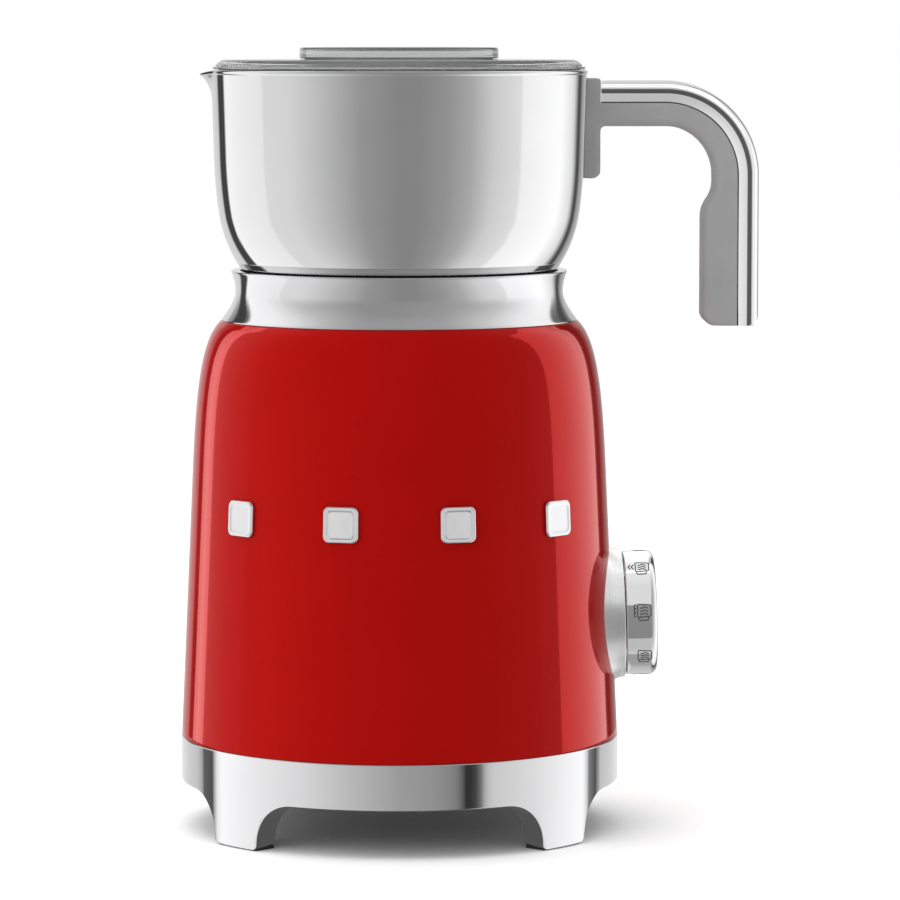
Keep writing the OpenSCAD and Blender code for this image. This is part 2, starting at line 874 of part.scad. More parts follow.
// Half-round section of the strap: x is its depth from the seam
module strap_section() {
    half = handle_w / 2;
    round_r = (half * half + strap_depth * strap_depth) / (2 * strap_depth);
    intersection() {
        translate([strap_depth - round_r, 0]) circle(round_r);
        translate([0, -half]) square([strap_depth + 1, handle_w]);
    }
}

module handle_strap() {
    start_x = pad_x + 1.7;
    color([0.82, 0.82, 0.84]) translate([bend_c[0], 0, bend_c[1]]) {
        rotate([90, 0, 0]) rotate_extrude(angle = 90) translate([bend_seam, 0]) strap_section();
        translate([bend_seam, 0, handle_bottom - bend_c[1]])
            linear_extrude(bend_c[1] - handle_bottom) strap_section();
        translate([start_x - bend_c[0], 0, bend_seam]) rotate([0, -90, 180])
            linear_extrude(bend_c[0] - start_x) strap_section();
    }
}

module handle_screws() {
    color([0.6, 0.6, 0.6]) for (x = HANDLE_SCREWS_X) translate([x, 0, arm_under + screw_recess])
        screw(2.2, 1.4, 1.2, 5);
}

// ---- lid and cap ----

module lid() {
    edge = 2.2;
    skirt_in = skirt_r - lid_wall;
    color([0.85, 0.9, 0.92, 0.4]) rotate_extrude() polygon(concat(
        [
            [lid_hole, lid_wall_bottom], [lid_hole + lid_wall, lid_wall_bottom],
            [lid_hole + lid_wall, lid_top - 2.4], [skirt_in, lid_under + 0.4],
            [skirt_in, skirt_bottom], [skirt_r, skirt_bottom], [skirt_r, lid_groove[0]],
            [skirt_r - groove_depth, lid_groove[0]], [skirt_r - groove_depth, lid_groove[1]],
            [skirt_r, lid_groove[1]], [skirt_r, lid_under], [lid_r, lid_under],
        ],
        arc([lid_r - edge, lid_under + 0.4], edge, 0, 90),
        [[lid_hole + 2.4, lid_top], [lid_hole, lid_top]]
    ));
}

module lid_seal() {
    back = skirt_r - groove_depth + 0.05;
    lip = skirt_r + 0.9;
    low = lid_groove[0] + 0.1;
    high = lid_groove[1] - 0.1;
    color([0.9, 0.9, 0.9]) rotate_extrude() polygon([
        [back, low], [lip, low], [lip, low + 0.8], [skirt_r, (low + high) / 2],
        [lip, high - 0.8], [lip, high], [back, high],
    ]);
}

module cap() {
    edge = 0.8;
    wall_r = lid_hole - 0.6;
    wall_in = wall_r - 1.7;
    ceiling = cap_top - 2.2;
    color([0.85, 0.9, 0.92, 0.4]) rotate_extrude() polygon(concat(
        [
            [0, ceiling], [wall_in, ceiling], [wall_in, cap_bottom], [wall_r, cap_bottom],
            [wall_r, cap_groove[0]], [wall_r - groove_depth, cap_groove[0]],
            [wall_r - groove_depth, cap_groove[1]], [wall_r, cap_groove[1]],
            [wall_r, cap_flange], [cap_r, cap_flange],
        ],
        arc([cap_r - edge, cap_top - edge], edge, 0, 90, 4),
        [[0, cap_top]]
    ));
}

module cap_seal() {
    color([0.9, 0.9, 0.9]) ring(lid_hole - 0.3, lid_hole - 1.15, cap_groove[0] + 0.1, cap_groove[1] - 0.1);
}

// ---- whisk ----

module whisk_disc() {
    top = whisk_low + whisk_web;
    color([0.25, 0.25, 0.27]) difference() {
        union() {
            rod(16, whisk_low, top);
            rod(whisk_ring_r - 1, top - 1.6, top);
            translate([0, 0, top]) cylinder(r1 = 8, r2 = 5.4, h = whisk_hub - whisk_web);
        }
        rod(whisk_hub_r, whisk_low - 1, whisk_low + whisk_hub + 1);
        around(FOUR_WAYS, whisk_magnet_ring)
            rod(whisk_magnet_r + 0.05, whisk_low - 1, whisk_low + whisk_magnet_h);
        around([for (i = [0:5]) 60 * i + 30], 20) rod(2.6, whisk_low - 1, top + 1);
        whisk_torus();
    }
}

module whisk_torus() {
    translate([0, 0, whisk_low + 2.2]) rotate_extrude()
        translate([whisk_ring_r, 0]) circle(whisk_coil_r);
}

module whisk_bush() {
    color([0.9, 0.88, 0.8])
        ring(whisk_hub_r - 0.02, pin_r + 0.06, whisk_low, whisk_low + whisk_hub);
}

module whisk_magnets() {
    color([0.8, 0.8, 0.82]) around(FOUR_WAYS, whisk_magnet_ring)
        rod(whisk_magnet_r, whisk_low, whisk_low + whisk_magnet_h);
}

module whisk_coil() {
    color([0.8, 0.8, 0.82]) whisk_torus();
}

body_shell();
collar();
seat_gasket();
plinth();
legs();
foot_pads();
bottom_cover();
bottom_screws();
cord_gland();
badge_tiles();
jug_seat();
seat_screws();
chassis();
top_deck();
deck_screws();
coil_former();
induction_coil();
ferrite_bars();
insulating_sheet();
temperature_sensor();
sensor_spring();
motor_can();
motor_magnets();
motor_bearings();
motor_bracket();
motor_screws();
motor_shaft();
armature();
magnet_carrier();
drive_magnets();
fan_frame();
fan_impeller();
power_board();
capacitors();
heat_sink();
choke();
transistors();
control_board();
encoder_body();
start_switch();
dial_bezel();
dial();
light_ring();
start_button();
button_spring();
jug_shell();
induction_disc();
whisk_pin();
weld_bracket();
handle_grip();
handle_strap();
handle_screws();
lid();
lid_seal();
cap();
cap_seal();
whisk_disc();
whisk_bush();
whisk_magnets();
whisk_coil();
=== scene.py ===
"""The looks of a milk frothing pitcher and its induction base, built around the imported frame.

Shapes are worked out in millimetres and turned into metres as each mesh is made. The axis of the object is Z,
its front is -Y, the spout is on -X, and the handle and the dial are on +X.
"""

import math

import bmesh
import bpy
import numpy as np
from mathutils import Matrix, Vector


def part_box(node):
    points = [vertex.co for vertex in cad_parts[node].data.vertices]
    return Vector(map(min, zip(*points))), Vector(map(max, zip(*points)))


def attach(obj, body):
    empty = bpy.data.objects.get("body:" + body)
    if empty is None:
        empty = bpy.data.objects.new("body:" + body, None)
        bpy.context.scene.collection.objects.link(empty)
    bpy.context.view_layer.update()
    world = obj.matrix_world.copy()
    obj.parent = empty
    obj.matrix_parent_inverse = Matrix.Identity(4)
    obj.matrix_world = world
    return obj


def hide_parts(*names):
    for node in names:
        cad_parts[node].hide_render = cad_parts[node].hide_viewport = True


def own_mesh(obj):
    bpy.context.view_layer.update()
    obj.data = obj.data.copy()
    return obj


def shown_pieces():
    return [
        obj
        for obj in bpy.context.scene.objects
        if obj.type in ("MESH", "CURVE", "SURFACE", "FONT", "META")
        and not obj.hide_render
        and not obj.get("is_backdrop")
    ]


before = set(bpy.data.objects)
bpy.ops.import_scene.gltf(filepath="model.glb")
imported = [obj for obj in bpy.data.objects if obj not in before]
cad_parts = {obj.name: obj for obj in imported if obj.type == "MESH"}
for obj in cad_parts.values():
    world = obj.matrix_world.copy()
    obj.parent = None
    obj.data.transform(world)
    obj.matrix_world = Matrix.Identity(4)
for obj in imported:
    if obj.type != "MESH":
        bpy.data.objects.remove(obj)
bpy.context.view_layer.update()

MM = 0.001
TURN = np.linspace(0, 360, 240, endpoint=False)


# ------------ outlines


def spot(node):
    """Lowest and highest corner of a CAD node, in millimetres."""
    low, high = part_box(node)
    return low / MM, high / MM


def sweep(start, end, count):
    """Evenly spaced angles in radians, between two in degrees."""
    return np.radians(np.linspace(start, end, count))


def arc(centre, radius, start, end, steps=12):
    """Points on an arc, between two angles in degrees."""
    turns = sweep(start, end, steps + 1)
    return [(centre[0] + radius * math.cos(a), centre[1] + radius * math.sin(a)) for a in turns]


def bezier(a, b, c, d, steps=20):
    """Points on a cubic curve with these four control points."""
    t = np.linspace(0, 1, steps + 1)[:, None]
    a, b, c, d = (np.array(p, float) for p in (a, b, c, d))
    curve = a * (1 - t) ** 3 + 3 * b * t * (1 - t) ** 2 + 3 * c * t**2 * (1 - t) + d * t**3
    return [tuple(p) for p in curve]


def fillet(before, corner, after, radius, steps):
    """The arc of that radius that rounds a corner between two straight sides."""
    nearly_straight, most_of_side = math.radians(88.5), 0.48
    b = np.array(corner, float)
    u, v = np.array(before, float) - b, np.array(after, float) - b
    length_u, length_v = np.linalg.norm(u), np.linalg.norm(v)
    u, v = u / length_u, v / length_v
    half = math.acos(max(-1.0, min(1.0, float(u @ v)))) / 2
    if half > nearly_straight:
        return [tuple(b)]
    reach = min(radius / math.tan(half), most_of_side * length_u, most_of_side * length_v)
    middle = (u + v) / np.linalg.norm(u + v)
    centre = b + middle * reach * math.tan(half) / math.sin(half)
    start, end = b + u * reach - centre, b + v * reach - centre
    turn = math.atan2(start[0] * end[1] - start[1] * end[0], float(start @ end))
    turns = [(math.cos(t), math.sin(t)) for t in np.linspace(0, turn, steps + 1)]
    x, y = start
    return [(centre[0] + c * x - s * y, centre[1] + s * x + c * y) for c, s in turns]


def rounded(corners, closed=False, steps=6):
    """An outline from corners (across, up) or (across, up, radius of its rounding)."""
    points = []
    last = len(corners) - 1
    for i, corner in enumerate(corners):
        if len(corner) == 2 or (not closed and i in (0, last)):
            points.append((corner[0], corner[1]))
        else:
            before, after = corners[i - 1][:2], corners[(i + 1) % (last + 1)][:2]
            points += fillet(before, corner[:2], after, corner[2], steps)
    return points


def leftwards(along):
    """Unit vectors that point to the left of these directions."""
    along = along / np.linalg.norm(along, axis=1)[:, None]
    return np.stack([-along[:, 1], along[:, 0]], axis=1)


def inward(points, distance):
    """An open outline moved sideways, to its left, by that distance."""
    p = np.array(points, float)
    return p + distance * leftwards(np.gradient(p, axis=0))


def turned(outline, angles=TURN):
    """Rows of points, one ring for each point (radius, height) of an outline."""
    r, z = np.array(outline, float)[:, :2].T
    a = np.radians(angles)
    heights = np.repeat(z[:, None], len(a), axis=1)
    return np.stack([np.outer(r, np.cos(a)), np.outer(r, np.sin(a)), heights], axis=2)


def polar(r, a, z):
    """One row of points from radii, angles in radians and heights."""
    return np.stack([r * np.cos(a), r * np.sin(a), z], axis=1)


def placed(rows, matrix):
    """Rows of points moved by a 4 x 4 matrix."""
    m = np.array(matrix)
    return np.asarray(rows) @ m[:3, :3].T + m[:3, 3]


# ------------ meshes


def skin(bm, rows, ring=False, caps=False):
    """Quads through closed rows of points. ring joins the last row to the first, and caps closes the ends."""
    rows = np.asarray(rows, float) * MM
    count, width = rows.shape[:2]
    verts = [[bm.verts.new(p) for p in row] for row in rows]
    for i in range(count if ring else count - 1):
        near, far = verts[i], verts[(i + 1) % count]
        for j in range(width):
            k = (j + 1) % width
            bm.faces.new((near[j], near[k], far[k], far[j]))
    if caps:
        bm.faces.new(verts[0])
        bm.faces.new(verts[-1])


def welded_mesh(name, bm):
    """Turns a bmesh into a mesh with no doubled points and all its faces outwards."""
    bmesh.ops.remove_doubles(bm, verts=bm.verts, dist=1e-7)
    bmesh.ops.recalc_face_normals(bm, faces=bm.faces)
    mesh = bpy.data.meshes.new(name)
    bm.to_mesh(mesh)
    bm.free()
    return mesh


def added(name, data):
    """A new object in the scene."""
    obj = bpy.data.objects.new(name, data)
    bpy.context.scene.collection.objects.link(obj)
    return obj


def piece(name, bm, body, slot, material, *nodes, sharp=32):
    """Turns a bmesh into a piece that rides on a body, stands for its CAD nodes and has its finish."""
    mesh = welded_mesh(name, bm)
    mesh.shade_smooth()
    mesh.set_sharp_from_angle(angle=math.radians(sharp))
    mesh.materials.append(material)
    obj = added(name, mesh)
    weighted = obj.modifiers.new("weighted_normals", "WEIGHTED_NORMAL")
    weighted.keep_sharp = True
    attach(obj, body)
    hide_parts(*nodes)
    return obj


def shell(name, rows, body, slot, material, *nodes, sharp=32, **ends):
    """One piece made of a single skin."""
    bm = bmesh.new()
    skin(bm, rows, **ends)
    return piece(name, bm, body, slot, material, *nodes, sharp=sharp)


def satin_inside(obj, low, high):
    """Gives the inside of a turned piece a satin finish, between two heights."""
    obj.data.materials.append(INNER_STEEL)
    for face in obj.data.polygons:
        x, y, z = face.center
        faces_in = x * face.normal.x + y * face.normal.y < 0 or face.normal.z > 0.7
        if faces_in and low * MM < z < high * MM:
            face.material_index = 1


# ------------ finishes

DIAL_BACK = Vector((73.8, 0.0, 69.6))
DIAL_TILT = 1.7
DIAL_FRAME = Matrix.Translation(DIAL_BACK) @ Matrix.Rotation(math.radians(90 - DIAL_TILT), 4, "Y")


def node(tree, kind, *sources, **values):
    """A new node, with its properties set by name and its first inputs linked or set in their order."""
    made = tree.nodes.new(kind)
    for key, value in values.items():
        setattr(made, key, value)
    for socket, source in zip(made.inputs, sources):
        if isinstance(source, bpy.types.NodeSocket):
            tree.links.new(source, socket)
        elif source is not None:
            socket.default_value = source
    return made


class Nodes:
    """A small builder for one material's node tree."""

    def __init__(self, name, colour, metallic, roughness):
        self.material = bpy.data.materials.new(name)
        self.material.use_nodes = True
        self.tree = self.material.node_tree
        self.shader = self.tree.nodes["Principled BSDF"]
        self.set(Base_Color=(*colour, 1), Metallic=metallic, Roughness=roughness)
        self.place = self.add("ShaderNodeTexCoord").outputs["Object"]

    def set(self, **sockets):
        """Sets sockets of the shader, named with _ for each space."""
        for key, value in sockets.items():
            self.shader.inputs[key.replace("_", " ")].default_value = value

    def add(self, kind, *sources, **values):
        """A new node in this material."""
        return node(self.tree, kind, *sources, **values)

    def distance(self, vector, factors):
        """The length of a vector after each part of it is multiplied."""
        flat = self.add("ShaderNodeVectorMath", vector, factors, operation="MULTIPLY")
        return self.add("ShaderNodeVectorMath", flat.outputs["Vector"], operation="LENGTH").outputs["Value"]

    def about(self, axis):
        """Coordinates (distance from an axis, 0, height along it), for marks that run round a turned part."""
        place = self.place
        if axis == "dial":
            back = DIAL_FRAME.inverted()
            moved = self.add("ShaderNodeMapping", place, back.to_translation() * MM, back.to_euler())
            place = moved.outputs["Vector"]
        far = self.distance(place, (1, 1, 0))
        apart = self.add("ShaderNodeSeparateXYZ", place)
        return self.add("ShaderNodeCombineXYZ", far, None, apart.outputs["Z"]).outputs[0]

    def noise(self, place, scale, detail):
        """A noise from 0 to 1 with that many features in a metre."""
        return self.add("ShaderNodeTexNoise", place, None, scale, detail).outputs["Fac"]

    def spread(self, source, low, high):
        """Maps the middle of a noise on to a range of values."""
        return self.add("ShaderNodeMapRange", source, 0.3, 0.7, low, high).outputs[0]

    def bump(self, source, depth):
        """A bump of that depth in millimetres."""
        bump = self.add("ShaderNodeBump")
        bump.inputs["Distance"].default_value = depth * MM
        self.tree.links.new(source, bump.inputs["Height"])
        self.tree.links.new(bump.outputs["Normal"], self.shader.inputs["Normal"])

    def tones(self, source, dark, light):
        """The base colour, between two colours."""
        mix = self.add("ShaderNodeMix", self.spread(source, 0, 1), data_type="RGBA")
        colours = [s for s in mix.inputs if s.type == "RGBA"]
        colours[0].default_value = (*dark, 1)
        colours[1].default_value = (*light, 1)
        self.tree.links.new(mix.outputs[2], self.shader.inputs["Base Color"])

    def wear(self, source, low, high):
        """The roughness, between two values."""
        self.tree.links.new(self.spread(source, low, high), self.shader.inputs["Roughness"])


def shades(colour, change):
    """A darker and a lighter version of a colour."""
    return [tuple(c * (1 + s * change) for c in colour) for s in (-1, 1)]


def turned_metal(name, colour, roughness, around=None, lines=2600, depth=0.0006, change=0.03):
    """Bare metal. With an axis it has the fine marks of a lathe or a polishing wheel round it, and without
    one a fine even grain."""
    n = Nodes(name, colour, 1.0, roughness)
    marks = n.noise(n.about(around) if around else n.place, lines, 4)
    n.tones(n.noise(n.place, 45, 2), *shades(colour, change))
    n.wear(marks, roughness * 0.75, roughness * 1.3)
    n.bump(marks, depth)
    return n.material


def moulded(name, colour, roughness, grain=900, depth=0.012, change=0.05, **sockets):
    """Moulded plastic or rubber with a fine spark-eroded grain."""
    n = Nodes(name, colour, 0.0, roughness)
    fine = n.noise(n.place, grain, 2)
    n.tones(n.noise(n.place, 60, 2), *shades(colour, change))
    n.wear(fine, roughness * 0.9, min(1, roughness * 1.12))
    n.bump(fine, depth)
    n.set(**sockets)
    return n.material


def clear(name, colour, roughness):
    """Clear plastic with the faint waves of a moulding. The part of it that isn't clear is milky."""
    clarity, ior, wave_depth = 0.93, 1.45, 0.0005
    n = Nodes(name, colour, 0.0, roughness)
    n.set(Transmission_Weight=clarity, IOR=ior)
    clouds = n.noise(n.place, 50, 2)
    n.tones(clouds, *shades(colour, 0.01))
    n.wear(clouds, roughness * 0.6, roughness * 1.5)
    n.bump(n.noise(n.place, 25, 0), wave_depth)
    return n.material


def gloss_red():
    """Deep red lacquer: a clear skin with little shine of its own over a colour that mirrors red."""
    n = Nodes("red_gloss", (0.32, 0.0035, 0.0027), 0.22, 0.05)
    n.set(IOR=1.2, Specular_Tint=(1.0, 0.5, 0.45, 1))
    clouds = n.noise(n.place, 30, 2)
    n.tones(clouds, (0.313, 0.0033, 0.0025), (0.327, 0.0037, 0.0029))
    n.wear(clouds, 0.04, 0.07)
    orange_peel = n.noise(n.place, 420, 1)
    n.bump(orange_peel, 0.0015)
    return n.material


def strap_metal():
    """Polished steel for the strap, with a painted dark reflection along the crease beside its crown and
    painted shade along the seam.
    """
    # dark is the painted colour of both bands: a dark reflection at the crease and shade at the seam.
    light, dark = (0.73, 0.73, 0.735), (0.12, 0.12, 0.12)
    crease, painted_reflection_half, seam_shade_half = 3.85, 0.7, 0.45
    n = Nodes("strap_steel", light, 1.0, 0.04)
    n.bump(n.noise(n.place, 2600, 4), 0.0003)
    bend = (BEND[0] * MM, 0, BEND[1] * MM)
    offset = n.add("ShaderNodeVectorMath", n.place, bend, operation="SUBTRACT")
    outside = n.add("ShaderNodeVectorMath", offset.outputs["Vector"], operation="MAXIMUM")
    far = n.distance(outside.outputs["Vector"], (1, 0, 1))
    # Masks for the painted dark reflection beside the crown and the painted shade along the seam between
    # strap and grip.
    painted_dark_bands = [
        n.add("ShaderNodeMath", far, middle * MM, half * MM, operation="COMPARE").outputs[0]
        for middle, half in ((SEAM_R + crease, painted_reflection_half), (SEAM_R, seam_shade_half))
    ]
    n.tones(n.add("ShaderNodeMath", *painted_dark_bands, operation="MAXIMUM").outputs[0], light, dark)
    return n.material


# The middle of the handle's bend as (x, z), and the radii there of the seam and of the strap's outside.
BEND = (86.4, 213.5)
SEAM_R, OUTER_R = 23.5, 30.8
RED = gloss_red()
ALUMINIUM = turned_metal("polished_aluminium", (0.72, 0.72, 0.73), 0.06, around="z", depth=0.0005)
CHROME = turned_metal("chrome_plating", (0.72, 0.72, 0.73), 0.035, depth=0.0002, change=0.015)
DIAL_CHROME = turned_metal("dial_chrome", (0.74, 0.74, 0.75), 0.05, around="dial", depth=0.0003)
SATIN = turned_metal("satin_aluminium", (0.8, 0.805, 0.81), 0.32, around="dial", depth=0.0001, change=0.01)
STEEL = turned_metal("polished_steel", (0.71, 0.71, 0.715), 0.028, around="z", depth=0.0002, change=0.015)
INNER_STEEL = turned_metal("satin_steel", (0.66, 0.66, 0.665), 0.3, around="z", depth=0.0004)
INNER_STEEL.node_tree.nodes["Principled BSDF"].inputs["Metallic"].default_value = 0.75
STRAP_STEEL = strap_metal()
FIXING = turned_metal("steel_fixings", (0.55, 0.55, 0.54), 0.3, lines=1500, depth=0.003, change=0.1)
GREY = moulded("grey_plastic", (0.25, 0.25, 0.25), 0.55, grain=1400, depth=0.012)
DARK = moulded("dark_plastic", (0.022, 0.023, 0.026), 0.5, depth=0.015)
PALE = moulded("pale_plastic", (0.55, 0.52, 0.44), 0.5, grain=1200)
CLEAR = clear("clear_plastic", (0.95, 0.955, 0.96), 0.02)
SMOKY = clear("smoky_plastic", (0.5, 0.505, 0.51), 0.03)
LENS = moulded("light_lens", (0.85, 0.83, 0.78), 0.25, Transmission_Weight=0.4)
SILICONE = moulded("silicone", (0.42, 0.42, 0.43), 0.45, depth=0.008, Transmission_Weight=0.15)
RUBBER = moulded("black_rubber", (0.018, 0.018, 0.019), 0.7, grain=1100, depth=0.03)
COPPER = turned_metal("copper", (0.78, 0.32, 0.17), 0.3, lines=2200, depth=0.004, change=0.12)
BRONZE = turned_metal("bronze", (0.62, 0.41, 0.2), 0.35, lines=1800, depth=0.003, change=0.1)
FERRITE = moulded("ferrite", (0.05, 0.05, 0.055), 0.6, grain=2000, depth=0.03, change=0.2)
MAGNET = turned_metal("magnet", (0.6, 0.6, 0.61), 0.22, lines=1500, depth=0.002, change=0.05)
BOARD = moulded("circuit_board", (0.02, 0.13, 0.05), 0.4, grain=1600, depth=0.01, change=0.25)
SLEEVE = moulded("capacitor_sleeve", (0.03, 0.035, 0.07), 0.35, depth=0.004)
SINK = turned_metal("heat_sink_metal", (0.6, 0.61, 0.62), 0.4, lines=1300, depth=0.004, change=0.08)
MARK = moulded("mark_ink", (0.05, 0.05, 0.055), 0.5, grain=1200, depth=0.004)


def dress(material, names):
    """Gives carried-over CAD nodes a finish."""
    for name in names.split():
        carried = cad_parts[name]
        for slot in carried.material_slots:
            slot.material = material
        if not carried.material_slots:
            carried.data.materials.append(material)


dress(FIXING, "bottom_screws seat_screws deck_screws motor_screws handle_screws weld_bracket button_spring")
dress(FIXING, "motor_shaft motor_can motor_bracket temperature_sensor induction_disc")
dress(DARK, "bottom_cover jug_seat chassis top_deck fan_frame fan_impeller encoder_body start_switch")
dress(DARK, "transistors magnet_carrier whisk_disc")
dress(PALE, "coil_former insulating_sheet whisk_bush")
dress(RUBBER, "foot_pads seat_gasket")
dress(SILICONE, "lid_seal cap_seal")
dress(COPPER, "induction_coil choke armature")
dress(BRONZE, "motor_bearings")
dress(FERRITE, "ferrite_bars motor_magnets")
dress(MAGNET, "drive_magnets whisk_magnets")
dress(BOARD, "power_board control_board")
dress(SLEEVE, "capacitors")
dress(SINK, "heat_sink")
dress(STEEL, "whisk_pin")
dress(LENS, "light_ring")

# ------------ base

body_low, body_high = spot("body_shell")
FOOT_R, FOOT_Z, MOUTH_Z = body_high.y, body_low.z, body_high.z
SHOULDER_Z = 117.5
TAPER = 0.04535
WALL = 2.2
COLLAR_FOOT_R = 58.25


def cone_r(z):
    """Outer radius of the tapered body below its shoulder."""
    return FOOT_R - TAPER * (z - FOOT_Z)


def dial_hole():
    """The cutter for the hole that the dial's neck goes through."""
    hole_r, depth, height = 13, -12, 4
    bm = bmesh.new()
    skin(bm, placed(turned([(0, depth), (hole_r, depth), (hole_r, height), (0, height)]), DIAL_FRAME))
    return added("dial_hole", welded_mesh("dial_hole", bm))


def build_body():
    """The enamelled shell: a straight taper, a shoulder that rounds inwards, and the dial's hole."""
    rim_r = 56.4
    crown = (COLLAR_FOOT_R, MOUTH_Z)
    shoulder = bezier((cone_r(SHOULDER_Z), SHOULDER_Z), (66.5, 145.5), (64.5, 160.5), crown, 40)
    cone = [(cone_r(z), z) for z in np.linspace(FOOT_Z + 2, SHOULDER_Z, 30)[:-1]]
    outside = fillet((FOOT_R - 2, FOOT_Z), (FOOT_R, FOOT_Z), (cone_r(40), 40), 0.4, 5) + cone + shoulder
    crest = fillet(outside[-4], crown, (50, MOUTH_Z), 0.7, 6)
    inside = [tuple(p) for p in inward(outside[6:-2], WALL)][::-1]
    outline = outside[:-3] + crest + [(rim_r, MOUTH_Z), (rim_r, MOUTH_Z - 2)]
    outline += inside + [(FOOT_R - WALL, FOOT_Z)]
    obj = shell("body_enamel", turned(outline), "base", "red_gloss", RED, "body_shell", ring=True, sharp=40)
    hole = dial_hole()
    cut = obj.modifiers.new("dial_hole", "BOOLEAN")
    cut.operation = "DIFFERENCE"
    cut.object = hole
    cut.solver = "EXACT"
    obj.modifiers.move(1, 0)
    weighted = obj.modifiers["weighted_normals"]
    weighted.show_viewport = False
    bpy.context.view_layer.update()
    depsgraph = bpy.context.evaluated_depsgraph_get()
    mesh = bpy.data.meshes.new_from_object(obj.evaluated_get(depsgraph))
    weighted.show_viewport = True
    obj.modifiers.remove(cut)
    obj.data = mesh
    bpy.data.objects.remove(hole)
    return obj


def build_collar():
    """The concave ring between the body and the jug, satin on the inside."""
    foot_r, neck_r, bore_r, step_r = 56.2, 53.5, 51.95, 54.6
    foot_z, step_z, neck_z = 163.9, 166, 175.9
    top = spot("collar")[1].z
    low = bezier((COLLAR_FOOT_R, MOUTH_Z), (56.3, 169.1), (neck_r, 172.5), (neck_r, neck_z), 24)
    high = bezier((neck_r, neck_z), (neck_r, 178.4), (54.1, 180.2), (54.8, 182), 16)
    foot = fillet((foot_r, MOUTH_Z), (COLLAR_FOOT_R, MOUTH_Z), low[3], 0.35, 5)
    lip = arc((54.35, 182.2), 0.5, -15, 95, 8) + fillet((54, top), (bore_r, top), (bore_r, 170), 0.3, 5)
    outline = [(step_r, foot_z), (foot_r, foot_z), (foot_r, MOUTH_Z)] + foot + low[3:-1] + high[:-1]
    outline += lip + [(bore_r, 168.5), (step_r, step_z)]
    ring = shell("collar_ring", turned(outline), "base", "polished_aluminium", ALUMINIUM, "collar", ring=True)
    satin_inside(ring, foot_z + 0.1, top - 0.2)


LEG_ANGLES = (42.2, 137.8, 222.2, 317.8)
PLINTH_R = spot("plinth")[1].y
LEG_FOOT_Z, ARCH_Z = 0.35, spot("plinth")[0].z
LEG_INNER_R = 61.85


def arch_boundary():
    """The lower edge right round the ring as (angle, height), and evenly spread angles to go with it."""
    half_width, arch_r, toe_r = 10.2, 13.5, 2.0
    reach = half_width + arch_r
    spring_z = ARCH_Z - arch_r
    half = (
        [(s, LEG_FOOT_Z) for s in np.linspace(0, half_width - toe_r, 6)]
        + arc((half_width - toe_r, LEG_FOOT_Z + toe_r), toe_r, -80, 0, 8)[:-1]
        + arc((reach, spring_z), arch_r, 180, 90, 22)
    )
    edges, even = [], []
    for here, there in zip(LEG_ANGLES, LEG_ANGLES[1:] + (LEG_ANGLES[0] + 360,)):
        right = [(here + math.degrees(math.asin(s / PLINTH_R)), z) for s, z in half]
        left = [(there - math.degrees(math.asin(s / PLINTH_R)), z) for s, z in half[::-1]]
        gap = np.linspace(right[-1][0], left[0][0], 24)[1:-1]
        section = right + [(a, ARCH_Z) for a in gap] + left[:-1]
        edges += section
        even += list(np.linspace(here, there, len(section), endpoint=False))
    return np.array(edges), np.array(even)


def build_plinth():
    """The cast ring and its legs: rows from the top edge down to the arches, under them and up the inside."""
    edge, even = arch_boundary()
    round_r, rim_r, top_z = 0.6, 0.35, FOOT_Z
    back_z, back_r = 21.5, 68.6
    mm_per_degree = math.radians(PLINTH_R)
    flat = np.stack([edge[:, 0] * mm_per_degree, edge[:, 1]], axis=1)
    after, before = np.roll(flat, -1, axis=0), np.roll(flat, 1, axis=0)
    around = math.radians(360) * PLINTH_R
    after[-1, 0] += around
    before[0, 0] -= around
    into = leftwards(after - before)
    rows = []

    def row(points, radius):
        rows.append(polar(radius, points[:, 0] / PLINTH_R, points[:, 1]))

    rim_z = top_z - rim_r
    for turn in sweep(90, 0, 5):
        heights = np.full(len(even), rim_z + rim_r * math.sin(turn))
        row(np.stack([even * mm_per_degree, heights], axis=1), PLINTH_R - rim_r * (1 - math.cos(turn)))
    held = flat + into * round_r
    for share in np.linspace(0, 1, 12)[1:-1]:
        level = held.copy()
        level[:, 0] += (even * mm_per_degree - held[:, 0]) * (1 - share)
        level[:, 1] = rim_z + (held[:, 1] - rim_z) * share
        row(level, PLINTH_R)
    quarter = sweep(0, 90, 7)
    for turn in quarter:
        row(flat + into * round_r * (1 - math.sin(turn)), PLINTH_R - round_r * (1 - math.cos(turn)))
    for turn in quarter[::-1]:
        row(flat + into * round_r * (1 - math.sin(turn)), LEG_INNER_R + round_r * (1 - math.cos(turn)))
    for radius, height in ((LEG_INNER_R, back_z - 2), (back_r, back_z), (back_r, top_z)):
        level = flat.copy()
        level[:, 1] = height
        row(level, radius)
    shell("plinth_casting", rows, "base", "chrome_plating", CHROME, "plinth", "legs", ring=True)


def rounded_square(half, radius, steps=8):
    """A closed outline round a square with rounded corners."""
    points = []
    for k, (sx, sy) in enumerate(((1, 1), (-1, 1), (-1, -1), (1, -1))):
        points += arc((sx * (half - radius), sy * (half - radius)), radius, 90 * k, 90 * k + 90, steps)
    return np.array(points)


